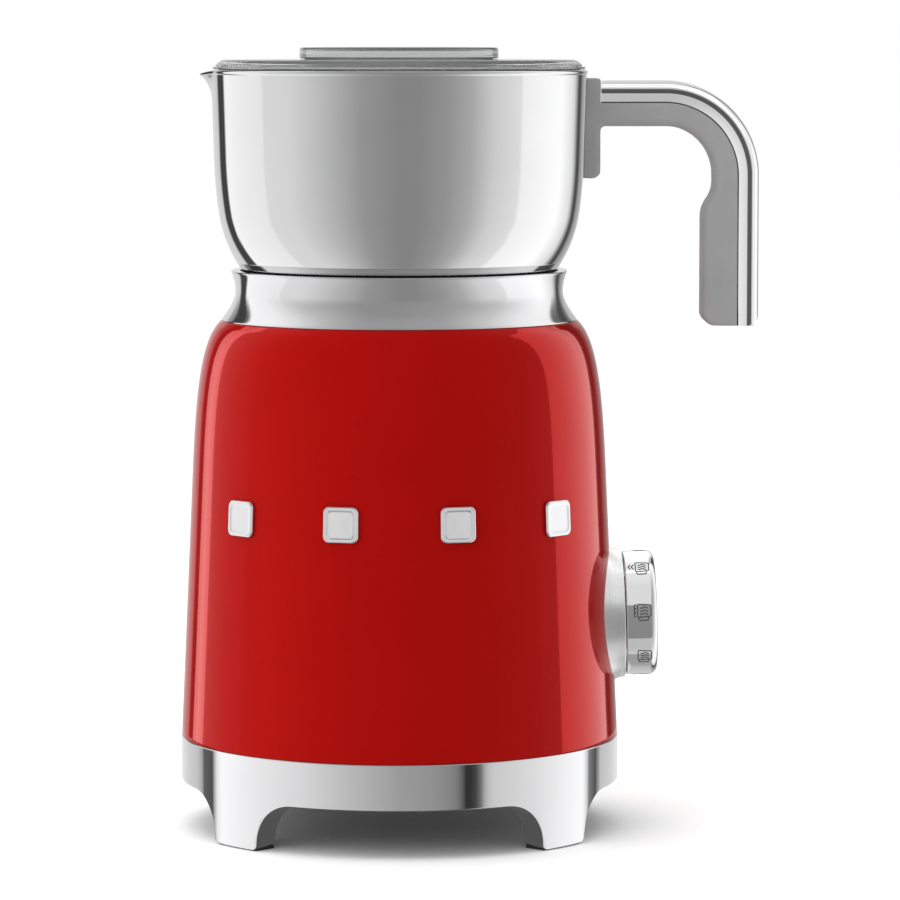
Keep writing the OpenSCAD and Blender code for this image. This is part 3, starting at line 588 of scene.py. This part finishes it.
def build_tiles():
    """Four plain chrome tiles with a raised rim and a slightly hollow face, laid round the body."""
    half, corner_r, middle_z, proud, rim_r = 5.7, 2.0, 105.8, 1.4, 0.55
    turns = np.radians(range(15, 91, 15))
    levels = [(0, -0.5), (0, proud - rim_r)]
    levels += [(rim_r * (1 - math.cos(t)), proud - rim_r + rim_r * math.sin(t)) for t in turns]
    dish = ((0.95, 0), (1.2, 0.06), (1.5, 0.22), (1.9, 0.27), (3.5, 0.3), (half - 0.01, 0.31))
    levels += [(inset, proud - depth) for inset, depth in dish]
    bm = bmesh.new()
    for angle in (-47, -15.5, 15.5, 47):
        rows = []
        for inset, height in levels:
            flat = rounded_square(half, corner_r) * (1 - inset / half)
            z = middle_z + flat[:, 1]
            a = math.radians(angle - 90) + flat[:, 0] / cone_r(middle_z)
            rows.append(polar(cone_r(z) + height, a, z))
        skin(bm, rows, caps=True)
    piece("front_tiles", bm, "base", "chrome_plating", CHROME, "badge_tiles")


def build_bezel():
    """The satin boss between the body and the dial. Its back edge follows the body."""
    seam_r, seam, flare, squeeze = 20.9, -0.3, 0.3037, 0.011
    bore_r, sunk, hollow = 12.8, 0.25, 0.15
    columns = np.radians(TURN)

    def boss_r(along, a):
        """Its radius, a little narrower across than it is high."""
        back = seam - along
        return seam_r + flare * back - squeeze * seam_r * back * np.sin(a) ** 2

    base = []
    for a in columns:
        along = -6.0
        for _ in range(12):
            r = boss_r(along, a)
            p = DIAL_FRAME @ Vector((r * math.cos(a), r * math.sin(a), along))
            body_x = math.sqrt(max(0, cone_r(p.z) ** 2 - p.y**2))
            along += body_x - p.x
        base.append(along - sunk)
    base = np.array(base)
    rows = []
    for t in np.linspace(0, 1, 14):
        along = base + (seam - 0.5 - base) * t
        r = boss_r(along, columns) - hollow * math.sin(math.pi * t)
        rows.append(polar(r, columns, along))
    front = rounded([(seam_r + 0.15, seam - 0.5), (seam_r, seam, 0.45), (bore_r, seam, 0.3), (bore_r, -10)])
    rows += list(turned(front[1:]))
    shell("dial_boss", placed(rows, DIAL_FRAME), "base", "satin_aluminium", SATIN, "dial_bezel")


def build_gland():
    """The rubber-lined inlet at the back for the mains lead."""
    low, high = spot("cord_gland")
    centre_z = (low.z + high.z) / 2
    flange_r = (high.z - low.z) / 2
    neck_r, hole_r, seat_y = 3.2, 2.4, PLINTH_R - 0.4
    backwards = Matrix.Translation((0, 0, centre_z)) @ Matrix.Rotation(math.radians(-90), 4, "X")
    corners = [
        (neck_r, low.y), (neck_r, seat_y), (flange_r, seat_y), (flange_r, high.y, 0.5),
        (neck_r - 0.1, high.y, 0.5), (hole_r, high.y - 1.6, 0.4), (hole_r, low.y),
    ]
    rows = placed(turned(rounded(corners, closed=True), TURN[::3]), backwards)
    shell("inlet_gland", rows, "base", "black_rubber", RUBBER, "cord_gland", ring=True)


enamel = build_body()
build_collar()
build_plinth()
build_tiles()
build_bezel()
build_gland()

# ------------ dial

DIAL_R = spot("dial")[1].y
DIAL_DEPTH = 10.2
BUTTON_R = 8.6


def build_dial():
    """The turning ring: a hollow neck, a rim with a round front edge and a shallow dish round its bore."""
    neck_r, bore_r, neck_end, skirt_r = 11.9, 10.15, -8, 19.4
    corners = [
        (neck_r, neck_end), (neck_r, 0.6, 0.3), (skirt_r, 0.6, 0.2), (skirt_r, 0, 0.1),
        (DIAL_R, 0, 0.5), (DIAL_R, DIAL_DEPTH, 3.2), (15.2, DIAL_DEPTH, 0.4),
        (14.4, DIAL_DEPTH - 0.7, 0.4), (11.2, DIAL_DEPTH - 0.95, 0.3), (bore_r + 0.1, DIAL_DEPTH - 0.6, 0.3),
        (bore_r, DIAL_DEPTH - 4, 0.2), (bore_r, neck_end),
    ]
    rows = placed(turned(rounded(corners, closed=True, steps=8)), DIAL_FRAME)
    shell("dial_ring", rows, "dial", "chrome_plating", DIAL_CHROME, "dial", ring=True)


def build_button():
    """The start button in the dial, with a dished face."""
    low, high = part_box("start_button")
    front, back = ((x / MM - DIAL_BACK.x) / math.cos(math.radians(DIAL_TILT)) for x in (high.x, low.x))
    dish_r, dish_depth = BUTTON_R - 1, 0.75
    dish = [(r, front - dish_depth * (1 - (r / dish_r) ** 2)) for r in np.linspace(0, dish_r, 10)]
    corners = [
        dish[-1], (BUTTON_R - 0.55, front, 0.3), (BUTTON_R, front - 0.5, 0.3),
        (BUTTON_R, back + 0.2, 0.2), (0, back),
    ]
    rows = placed(turned(dish[:-1] + rounded(corners), TURN[::2]), DIAL_FRAME)
    shell("start_cap", rows, "button", "satin_aluminium", SATIN, "start_button")


def ribbon(points):
    """A thin raised line on the dial's rim. Points are (along the axis, round the rim), in millimetres."""
    width, proud, sunk = 0.36, 0.05, 0.1
    p = np.array(points, float)
    side = leftwards(np.gradient(p, axis=0)) * width / 2
    rows = []
    for edge, height in ((side, -sunk), (side, proud), (-side, proud), (-side, -sunk)):
        q = p + edge
        rows.append(polar(-(DIAL_R + height), -q[:, 1] / DIAL_R, q[:, 0]))
    return np.array(rows).transpose(1, 0, 2)


def dense(corners):
    """A path with points added along its straight stretches."""
    spacing = 0.2
    points = [corners[0]]
    for a, b in zip(corners, corners[1:]):
        count = max(1, round(math.dist(a, b) / spacing))
        points += [tuple(p) for p in np.linspace(a, b, count + 1)[1:]]
    return points


def pictogram(style):
    """A jug on its base with three lines of steam in it. Two styles have foam or arrows beside it."""
    corners = ((-1.4, 1.6, 0.35), (1.9, 1.35, 0.35), (1.9, -1.35, 0.35), (-1.4, -1.6, 0.35))
    jug = rounded([(-1.3, 0), *corners, (-1.3, 0)])
    base = rounded([(0, -1.55), (-1.1, -1.55), (-1.0, -2.4, 0.25), (1.2, -2.3, 0.25), (1.25, -1.45)])
    lines = [dense(jug), dense(base)]
    for level in (-0.75, 0, 0.75):
        lines.append([(x, level + 0.16 * math.sin(4.2 * x)) for x in np.linspace(-0.75, 1.25, 24)])
    if style == "foam":
        for level in (-0.95, 0, 0.95):
            lines.append(arc((-1.55, level), 0.62, 105, 255, 12))
    if style == "arrows":
        for shift in (0, 0.75):
            lines.append(dense([(-1.8 - shift, 0.75), (-2.35 - shift, 0), (-1.8 - shift, -0.75)]))
    return lines


def build_marks():
    """Eight small pictures round the rim of the dial."""
    bm = bmesh.new()
    styles = ("foam", "plain", "foam", "arrows", "plain", "foam", "plain", "arrows")
    first, size, middle = 81.5, 1.35, 5.4
    for k, style in enumerate(styles):
        spin = Matrix.Rotation(math.radians(first + 45 * k), 4, "Z")
        for line in pictogram(style):
            rows = ribbon([(middle + size * a, size * b) for a, b in line])
            skin(bm, placed(rows, DIAL_FRAME @ spin), caps=True)
    piece("dial_marks", bm, "dial", "dark_plastic", MARK)


build_dial()
build_button()
build_marks()

# ------------ jug

JUG_WALL = 1.2
RIM_R, RIM_Z, BEAD_R = 60.55, 246.9, 0.9
SPOUT_Z = 237.9
SPOUT_REACH = 3.3


def jug_side():
    """The outside of the jug, from its foot to just below the rim."""
    foot = arc((42.88, 186.2), 9, -90, -38, 14)
    curve = arc((15.3, 207.75), 44, -38, -11.2, 18)
    belly = bezier((58.46, 199.2), (59.4, 204.5), (60.15, 212), (60.35, 220), 16)
    cone = [(60.35 + 0.8 * t, 220 + 26.0 * t) for t in np.linspace(0, 1, 24)[1:]]
    return foot + curve[1:] + belly[1:] + cone


def spouted(rows):
    """Pulls the rim out into a pouring lip on -X: concave cheeks, a rounded beak and a slight droop."""
    narrow, widening, blunt, crest, droop = 5, 9.5, 0.012, 0.87, 1.1
    p = np.array(rows)
    rise = np.clip((p[..., 2] - SPOUT_Z) / (RIM_Z - SPOUT_Z), 0, 1.1)
    half = narrow + widening * rise**0.8
    share = np.sqrt((p[..., 1] / half) ** 2 + blunt) - 0.02
    beak = np.clip(1 - share, 0, 1) ** 1.6 * (p[..., 0] < 0)
    p[..., 0] -= SPOUT_REACH * rise**1.9 * beak / crest
    p[..., 2] -= droop * rise**3 * beak
    return p


def build_jug():
    """The jug with its rolled rim and spout, with columns set closer together round the spout."""
    wall_top, spout_half = 244.5, 24.5
    side = jug_side()
    bead = arc((RIM_R, RIM_Z), BEAD_R, -50, 205, 16)
    inner = [tuple(q) for q in inward(side, JUG_WALL)][::-1]
    inner = [q for q in inner if q[1] < wall_top]
    floor_z = inner[-1][1]
    outline = [(r, side[0][1]) for r in (0, 12, 24, 34, 40)] + side[:-1] + bead
    outline += [(RIM_R - 0.85, wall_top + 1.1)] + inner + [(r, floor_z) for r in (36, 24, 12, 0)]
    coarse = np.arange(spout_half - 179.5, 180 - spout_half, 1.5)
    fine = np.arange(180 - spout_half, 180.1 + spout_half, 0.5)
    rows = turned(outline, np.concatenate([coarse, fine]))
    jug = shell("jug_vessel", spouted(rows), "jug", "polished_steel", STEEL, "jug_shell")
    satin_inside(jug, side[0][1] + 0.5, RIM_Z - 3)


# ------------ handle

HANDLE_HALF = 10.0
INNER_R = 16.0
HANDLE_FOOT = 164.7
PAD_X = 65.3
STRAP_X, STRAP_TOP_R, STRAP_END_R = 65.5, 1.6, 4.6


def grip_outline():
    """The grip seen from the front, from the start of its seam, as (x, z, softness of the edge there)."""
    seam_top, seam_x = BEND[1] + SEAM_R, BEND[0] + SEAM_R
    lower_x, upper_x, pad_top, pad_foot, heel_r = 98.6, BEND[0] + INNER_R, 245, 212.6, 4.2
    under_z = BEND[1] + INNER_R
    seam = [(76, seam_top)] + arc(BEND, SEAM_R, 90, 0, 28) + [(seam_x, 190), (seam_x, HANDLE_FOOT + 1)]
    foot = fillet((seam_x, 170), (seam_x, HANDLE_FOOT), (90, HANDLE_FOOT), 0.6, 4)
    heel = fillet((seam_x, HANDLE_FOOT), (lower_x, HANDLE_FOOT), (lower_x, 180), heel_r, 10)
    inner = [(lower_x, z) for z in (170, 178, 186, 193, 197)]
    inner += bezier((lower_x, 199.5), (lower_x, 205.8), (upper_x, 205.5), (upper_x, 211.8), 16)
    inner += arc(BEND, INNER_R, 0, 90, 22)[1:]
    neck = fillet((80, under_z), (PAD_X, under_z), (PAD_X, 220), 1.6, 6)
    toe = fillet((PAD_X, 225), (PAD_X, pad_foot), (60, pad_foot), heel_r, 8)
    wall = [(60.55, 212.75), (60.6, 220), (60.85, 228), (61.05, 236), (61.25, 244.4)]
    crown = fillet((61.3, 240), (61.3, pad_top), (PAD_X, pad_top), 0.5, 4)
    crown += fillet((62, pad_top), (PAD_X, pad_top), (PAD_X, 239), 0.8, 5)
    crown += fillet((PAD_X, 242), (PAD_X, seam_top), (75, seam_top), 0.3, 4)
    parts = ((seam, 0.45), (foot, 0.7), (heel, 2.0), (inner, 2.8))
    parts += ((neck, 1.8), (toe, 1.4), (wall, 0.3), (crown, 0.6))
    return np.array([(x, z, softness) for part, softness in parts for x, z in part])


def spaced(outline):
    """Drops points that fall on their neighbour, and evens out the rounding along the outline."""
    closest, passes = 0.12, 6
    kept = [outline[0]]
    for p in outline[1:]:
        if math.dist(p[:2], kept[-1][:2]) > closest:
            kept.append(p)
    kept = np.array(kept)
    for _ in range(passes):
        kept[:, 2] = (np.roll(kept[:, 2], 1) + 2 * kept[:, 2] + np.roll(kept[:, 2], -1)) / 4
    return kept


def build_grip():
    """The grip, with rounded edges and a pad that follows the round wall of the jug."""
    wall_r, pad_depth = 61.0, 4.5
    outline = spaced(grip_outline())
    flat, soft = outline[:, :2], outline[:, 2]
    into = -leftwards(np.roll(flat, -1, axis=0) - np.roll(flat, 1, axis=0))
    rows = []
    turns = sweep(0, 90, 9)
    levels = [(t, -1) for t in turns] + [(t, 1) for t in turns[::-1]]
    for turn, side in levels:
        p = flat + into * (soft * (1 - math.sin(turn)))[:, None]
        y = side * (HANDLE_HALF - soft * (1 - math.cos(turn)))
        near = np.clip((PAD_X - p[:, 0]) / pad_depth, 0, 1)
        wall = np.sqrt(wall_r**2 - y**2) - wall_r
        rows.append(np.stack([p[:, 0] + wall * near, y, p[:, 1]], axis=1))
    return shell("grip_moulding", rows, "jug", "grey_plastic", GREY, "handle_grip", caps=True, sharp=40)


def strap_path():
    """Stations along the seam: (x, z), the angle outwards, and the distance from the end at the jug or,
    below 0, from the end at the foot."""
    top, side, far = BEND[1] + SEAM_R, BEND[0] + SEAM_R, 99
    start = STRAP_X + STRAP_TOP_R * (1 - np.cos(sweep(0, 90, 7)))
    level = list(start) + list(np.linspace(69.5, BEND[0], 9)[:-1])
    stations = [((x, top), 90.0, x - STRAP_X) for x in level]
    stations += [(arc(BEND, SEAM_R, a, a, 0)[0], a, far) for a in np.linspace(90, 0, 40)]
    round_z = HANDLE_FOOT + STRAP_END_R
    end = HANDLE_FOOT + STRAP_END_R * (1 - np.cos(sweep(90, 0, 13)))
    upright = list(np.linspace(BEND[1], round_z + 0.5, 16)[1:]) + list(end)
    return stations + [((side, z), 0.0, HANDLE_FOOT - z if z < round_z else far) for z in upright]


def strap_half():
    """Half of the strap's section as (across, out from the seam): widest two thirds of the way out."""
    depth = OUTER_R - SEAM_R
    flank = bezier((8.2, 0.35), (8.9, 1.6), (9.72, 3.1), (9.963, 4.6), 10)
    shoulder = arc((8.3, 4.95), 1.7, -12, 60, 12)
    crown = bezier((9.15, 6.42), (7.9, 7.14), (4, depth), (0, depth), 12)
    return [(7.9, 0.0)] + flank + shoulder[1:] + crown[1:]


def rounding(radius, far):
    """How much a round end of that radius takes off at a distance from its tip."""
    return radius - math.sqrt(max(0, radius**2 - (radius - far) ** 2))


def build_strap():
    """The polished strap on the outside of the grip, rounded off at both ends."""
    depth = OUTER_R - SEAM_R
    half = strap_half()
    section = half + [(-y, h) for y, h in half[-2::-1]]
    rows = []
    for (x, z), outward, end in strap_path():
        cut = depth
        if 0 <= end < STRAP_TOP_R:
            cut = depth - rounding(STRAP_TOP_R, end)
        elif end <= 0:
            cut = depth - rounding(STRAP_END_R, -end)
        c, s = math.cos(math.radians(outward)), math.sin(math.radians(outward))
        rows.append([(x + c * min(h, cut), y, z + s * min(h, cut)) for y, h in section])
    slot = "polished_steel"
    return shell("grip_strap", rows, "jug", slot, STRAP_STEEL, "handle_strap", caps=True, sharp=45)


build_jug()
grip, strap = build_grip(), build_strap()
# The jug mirrors the plain studio, and not its own handle.
for unmirrored in (grip, strap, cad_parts["weld_bracket"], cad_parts["handle_screws"]):
    unmirrored.visible_glossy = False

# ------------ lid and cap


def build_lid():
    """The lid: a rolled edge on the rim, a skirt inside the jug and a neck for the cap."""
    skirt_r, skirt_z, ledge_r = 58.5, 239, 60.7
    bore_r, neck_r, neck_z, wall = 31.2, 32.8, 241, 1.6
    corners = [
        (bore_r, 251.2, 0.5), (48, 251.15), (57.6, 251.0, 2.2), (59.7, 249.4, 0.7), (59.6, 248.8, 0.12),
        (ledge_r, 248.75, 0.32), (ledge_r, 247.95, 0.32), (skirt_r, 247.9, 0.3),
        (skirt_r, skirt_z, 0.6), (skirt_r - wall, skirt_z, 0.6), (skirt_r - wall, 248.3, 1.0),
        (neck_r + 0.2, 249.0, 1.0), (neck_r, neck_z, 0.6), (bore_r, neck_z, 0.6),
    ]
    rows = turned(rounded(corners, closed=True))
    shell("lid_moulding", rows, "lid", "clear_plastic", CLEAR, "lid", ring=True)


def build_cap():
    """The cap: a shallow top with a raised edge over a skirt that fits the neck of the lid."""
    top, rim_r, rim_z = spot("cap")[1].z, 32.4, 251.4
    skirt_r, skirt_z, bore_r, floor, thick = 30.6, 236, 28.9, 1.2, 2.0
    corners = [
        (0, top - floor), (24, top - floor), (26.5, top - 1.1, 1.5), (28.4, top, 0.8),
        (rim_r - 0.1, top, 0.8), (rim_r, rim_z, 0.6), (skirt_r, rim_z, 0.2), (skirt_r, skirt_z, 0.6),
        (bore_r, skirt_z, 0.6), (bore_r, top - floor - thick, 1.6), (0, top - floor - thick),
    ]
    shell("cap_moulding", turned(rounded(corners)), "cap", "clear_plastic", SMOKY, "cap")


build_lid()
build_cap()

# ------------ springs

UP = np.array([0, 0, 1.0])


def wire(centre, normal, across, wire_r, corners):
    """A round wire along a path, from two directions at right angles to it."""
    around = np.radians(np.arange(0, 360, 360 // corners))
    return [
        [c + wire_r * (math.cos(a) * n + math.sin(a) * b) for a in around]
        for c, n, b in zip(centre, normal, across)
    ]


def outwards(angles):
    """Directions away from Z."""
    return polar(1.0, angles, np.zeros(len(angles)))


def build_whisk_coil():
    """A fine spring wound into a ring, which beats the air into the milk."""
    low, high = spot("whisk_coil")
    coil_r = (high.z - low.z) / 2
    ring_r = high.x - coil_r
    middle_z = (high.z + low.z) / 2
    turns, steps_in_turn, wire_r = 92, 12, 0.3
    t = np.linspace(0, 2 * math.pi, turns * steps_in_turn, endpoint=False)
    out = outwards(t)
    normal = out * np.cos(turns * t)[:, None] + UP * np.sin(turns * t)[:, None]
    centre = out * ring_r + normal * (coil_r - wire_r) + UP * middle_z
    along = np.roll(centre, -1, axis=0) - np.roll(centre, 1, axis=0)
    along /= np.linalg.norm(along, axis=1)[:, None]
    rows = wire(centre, normal, np.cross(along, normal), wire_r, 6)
    shell("whisk_spring", rows, "whisk", "steel_fixings", STEEL, "whisk_coil", ring=True, sharp=70)


def build_sensor_spring():
    """The spring that holds the temperature sensor up. The real one shortens as the sensor is pressed, but
    this one keeps its length.
    """
    low, high = spot("sensor_spring")
    wire_r, turns, stations, travel, closed_end = 0.35, 5, 240, 1.5, 0.1
    ring_r = (high.x - low.x) / 2 - wire_r
    middle_x = (high.x + low.x) / 2
    t = np.linspace(0, 1, stations)
    even = np.clip((t - closed_end) / (1 - 2 * closed_end), 0, 1)
    out = outwards(2 * math.pi * turns * t)
    height = low.z + wire_r + (high.z - low.z - 2 * wire_r) * even
    centre = out * ring_r + height[:, None] * UP + np.array([middle_x, 0, 0])
    rows = wire(centre, out, [UP] * stations, wire_r, 12)
    spring = shell("sensor_coil", rows, "base", "steel_fixings", STEEL, "sensor_spring", caps=True, sharp=70)
    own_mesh(spring)


build_whisk_coil()
build_sensor_spring()

# ------------ studio

# Brightness of what polished metal sees level with it, by the angle round from the camera side.
ROUND_THE_ROOM = (
    (-180, 0.80), (-150, 0.80), (-147, 0.07), (-137, 0.07), (-135, 1.26), (-93, 1.10), (-92, 0.96),
    (-72, 0.91), (-54, 0.74), (-38, 0.57), (-23, 0.41), (0, 0.32), (12, 0.32), (30, 0.40), (45, 0.54),
    (61, 0.84), (80, 1.02), (82, 1.22), (113, 1.37), (120, 1.38), (127, 1.20), (137, 0.97), (145, 0.10),
    (150, 0.10), (153, 0.35), (180, 0.80),
)
# The same for what lies higher up in the room.
HIGHER_UP = (
    (-180, 0.80), (-157, 0.80), (-155, 0.06), (-134, 0.06), (-131, 1.26), (-124, 1.23), (-110, 1.18),
    (-97, 0.97), (-86, 0.79), (-76, 0.67), (-56, 0.53), (-46, 0.46), (-28, 0.38), (0, 0.36), (26, 0.40),
    (45, 0.47), (64, 0.59), (74, 0.68), (84, 0.78), (95, 0.95), (108, 1.13), (121, 1.24), (133, 1.20),
    (136, 0.08), (155, 0.08), (158, 0.80), (180, 0.80),
)
# The soft light on matt surfaces, which is stronger on the left.
SOFT_LIGHT = ((-180, 1.0), (-60, 1.75), (40, 0.3), (120, 0.95), (180, 1.0))
# The brightness of what the plinth mirrors, by the angle round it from the front.
ON_THE_PLINTH = (
    (-90, 0.80), (-87, 0.99), (-66, 0.72), (-63, 0.50), (-62, 0.16), (-56.5, 0.10), (-55.8, 0.99),
    (-53, 1.33), (-43, 1.17), (-26, 0.94), (-13, 0.67), (0, 0.45), (9, 0.38), (14, 0.30), (15.7, 0.18),
    (16.6, 0.04), (19, 0.05), (20.6, 0.13), (22.3, 0.60), (24, 0.80), (37, 0.99), (47.5, 1.22), (55, 1.34),
    (57, 1.00), (58.3, 0.28), (62, 0.10), (64, 0.45), (65, 0.70), (80, 0.91), (90, 0.80),
)
CARD_R = 77.5
# A ramp's colours go up to 1, so brightness is divided by this and the light is as much stronger.
RAMP_SCALE = 2.0


def grey(brightness):
    """The colour of a ramp or a mix for that brightness."""
    return (brightness / RAMP_SCALE,) * 3 + (1,)


def ramp(tree, source, stops):
    """A brightness by angle, from stops (degrees, brightness)."""
    made = node(tree, "ShaderNodeValToRGB", source)
    elements = made.color_ramp.elements
    while len(elements) < len(stops):
        elements.new(0.5)
    for element, (angle, level) in zip(elements, stops):
        element.position = (angle + 180) / 360
        element.color = grey(level)
    return made.outputs["Color"]


def step(tree, source, low, high):
    """0 below the sine of one height in degrees and 1 above the sine of another."""
    sines = [math.sin(math.radians(angle)) for angle in (low, high)]
    return node(tree, "ShaderNodeMapRange", source, *sines, interpolation_type="SMOOTHSTEP").outputs[0]


def blend(tree, factor, a, b):
    """A mix of two colours, each a socket or a brightness."""
    mix = node(tree, "ShaderNodeMix", factor, data_type="RGBA")
    sockets = [s for s in mix.inputs if s.type == "RGBA"]
    for socket, value in zip(sockets, (a, b)):
        if isinstance(value, float):
            socket.default_value = grey(value)
        else:
            tree.links.new(value, socket)
    return mix.outputs[2]


def angle_round(tree, place):
    """The angle round from the front, from 0 to 1, and the height of a place or a direction."""
    apart = node(tree, "ShaderNodeSeparateXYZ", place)
    back = node(tree, "ShaderNodeMath", apart.outputs["Y"], -1, operation="MULTIPLY")
    angle = node(tree, "ShaderNodeMath", apart.outputs["X"], back.outputs[0], operation="ARCTAN2")
    share = node(tree, "ShaderNodeMapRange", angle.outputs[0], -math.pi, math.pi)
    return share.outputs[0], apart.outputs["Z"]


def build_world():
    """The studio round the object: one look for mirrors, another for soft light and white for the camera."""
    underfoot, ceiling, backdrop = 0.45, 0.47, 1.0
    world = bpy.data.worlds.new("studio")
    bpy.context.scene.world = world
    world.use_nodes = True
    tree = world.node_tree
    tree.nodes.clear()
    share, up = angle_round(tree, node(tree, "ShaderNodeTexCoord").outputs["Generated"])
    seen = ramp(tree, share, ROUND_THE_ROOM)
    seen = blend(tree, step(tree, up, -88, -60), underfoot, seen)
    seen = blend(tree, step(tree, up, -8, 35), seen, ramp(tree, share, HIGHER_UP))
    seen = blend(tree, step(tree, up, 55, 85), seen, ceiling)
    paths = node(tree, "ShaderNodeLightPath").outputs
    kinds = paths["Is Glossy Ray"], paths["Is Transmission Ray"]
    mirrored = node(tree, "ShaderNodeMath", *kinds, operation="SUBTRACT", use_clamp=True)
    seen = blend(tree, mirrored.outputs[0], backdrop, seen)
    seen = blend(tree, paths["Is Diffuse Ray"], seen, ramp(tree, share, SOFT_LIGHT))
    background = node(tree, "ShaderNodeBackground", seen, RAMP_SCALE)
    node(tree, "ShaderNodeOutputWorld", background.outputs[0])
    world.cycles.sampling_method = "NONE"


def build_floor():
    """A very large pale floor. Metal doesn't see it, so that the studio round it decides its reflections."""
    half = 20.0
    bm = bmesh.new()
    bmesh.ops.create_grid(bm, x_segments=8, y_segments=8, size=half)
    n = Nodes("floor_paper", (0.97, 0.97, 0.97), 0.0, 0.9)
    n.set(Specular_IOR_Level=0.0)
    n.tones(n.noise(n.place, 3, 1), (0.968, 0.968, 0.968), (0.972, 0.972, 0.972))
    floor = added("studio_floor", welded_mesh("studio_floor", bm))
    floor.data.materials.append(n.material)
    floor.visible_glossy = False
    floor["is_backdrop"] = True


def only_mirrored(name, rows, material):
    """A stage object that only shows in polished metal."""
    bm = bmesh.new()
    skin(bm, rows)
    obj = added(name, welded_mesh(name, bm))
    obj.data.materials.append(material)
    for kind in ("camera", "diffuse", "transmission", "volume_scatter", "shadow"):
        setattr(obj, "visible_" + kind, False)
    obj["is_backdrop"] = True


def build_shade():
    """What polished metal sees of the floor under the base, which is in shadow."""
    n = Nodes("floor_shade", (0.0, 0.0, 0.0), 0.0, 1.0)
    n.set(Emission_Color=(0.11, 0.11, 0.11, 1), Emission_Strength=1.0, Specular_IOR_Level=0.0)
    only_mirrored("floor_shade", turned([(r, 0.05) for r in (0, 30, PLINTH_R - 1)]), n.material)


def mirrored_on_card(angle):
    """Where on the card round the plinth a camera far in front sees the mirror image of that angle."""
    inside = PLINTH_R / CARD_R * math.sin(math.radians(angle))
    return 2 * angle - math.degrees(math.asin(inside))


def build_low_card():
    """A short round card just above and below the floor, which gives the plinth its light and dark bands."""
    low, high = -30, 29.7
    material = bpy.data.materials.new("low_card")
    material.use_nodes = True
    tree = material.node_tree
    tree.nodes.clear()
    share = angle_round(tree, node(tree, "ShaderNodeTexCoord").outputs["Object"])[0]
    stops = [(mirrored_on_card(angle), level) for angle, level in ON_THE_PLINTH]
    glow = node(tree, "ShaderNodeEmission", ramp(tree, share, stops), RAMP_SCALE)
    node(tree, "ShaderNodeOutputMaterial", glow.outputs[0])
    only_mirrored("low_card", turned([(CARD_R, low), (CARD_R, high)]), material)


def area_light(name, place, target, width, height, brightness, only=None, mirrored=False):
    """A soft light of that brightness. A mirrored one only makes a highlight, and another only lights matt
    surfaces. only lists the objects that it lights."""
    data = bpy.data.lights.new(name, "AREA")
    data.shape = "RECTANGLE"
    data.size, data.size_y = width, height
    data.energy = brightness * math.pi * width * height
    light = added(name, data)
    light.location = place
    aim = Vector(target) - Vector(place)
    light.rotation_euler = aim.to_track_quat("-Z", "Y").to_euler()
    light.visible_camera = False
    light.visible_transmission = False
    light.visible_glossy = mirrored
    light.visible_diffuse = not mirrored
    if only:
        lit = bpy.data.collections.new(name)
        for obj in only:
            lit.objects.link(obj)
        light.light_linking.receiver_collection = lit


def around_object(angle, far, height):
    """A place at that angle round from the front, in metres."""
    return (far * math.sin(math.radians(angle)), -far * math.cos(math.radians(angle)), height)


def build_lights():
    """Two soft boxes for everything, and cards that only one group of polished pieces sees."""
    pieces = [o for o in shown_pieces() if o.type == "MESH"]
    rim = [bpy.data.objects[name] for name in ("dial_ring", "dial_boss", "start_cap")]
    tiles = [bpy.data.objects["front_tiles"]]
    low_middle, dial_middle = (0, 0, 0.12), (0.079, 0, 0.07)
    area_light("left_softbox", around_object(-48, 1.4, 0.6), low_middle, 0.9, 0.9, 2.3, only=pieces)
    area_light("overhead_softbox", (0, -0.05, 1.4), (0, 0, 0), 1.4, 1.4, 1.7)
    for name, angle, width, brightness in (("right", 115, 0.86, 2.3), ("left", -130, 0.24, 2.2)):
        place = around_object(angle, 1.0, 0.5)
        area_light(name + "_highlight", place, (0, 0, 0.5), width, 1.5, brightness, [enamel], True)
    area_light("flank_card", (0.005, -0.26, 0.11), (0.1, 0, 0.21), 0.6, 0.6, 0.36, [strap], True)
    area_light("crown_card", (0.1, -0.17, 0.46), (0.1, 0, 0.22), 0.5, 0.55, 0.9, [strap], True)
    area_light("side_card", (0.31, -0.21, 0.2), (0.1, 0, 0.2), 0.5, 0.5, 0.6, [strap], True)
    area_light("dial_highlight", (0.079, -0.287, 0.48), dial_middle, 0.5, 0.7, 0.55, rim, True)
    area_light("dial_back_card", (0.079, 0.25, 0.45), dial_middle, 0.5, 0.75, 0.6, rim, True)
    area_light("dial_low_card", (0.079, -0.159, -0.184), dial_middle, 0.3, 0.18, 0.35, rim, True)
    area_light("tile_highlight", (0, -1.0, 0.2), (0, 0, 0.1), 1.6, 1.0, 0.4, tiles, True)


def build_camera():
    """A long lens a little above the middle of the object."""
    data = bpy.data.cameras.new("camera")
    data.lens = 180.7
    data.sensor_width = 36
    camera = added("camera", data)
    camera.location = (0, -1.476, 0.257)
    aim = Vector((0.0166, 0, 0.1234)) - camera.location
    camera.rotation_euler = aim.to_track_quat("-Z", "Y").to_euler()
    bpy.context.scene.camera = camera


build_world()
build_floor()
build_low_card()
build_shade()
build_lights()
build_camera()
bpy.context.scene.view_settings.view_transform = "Standard"
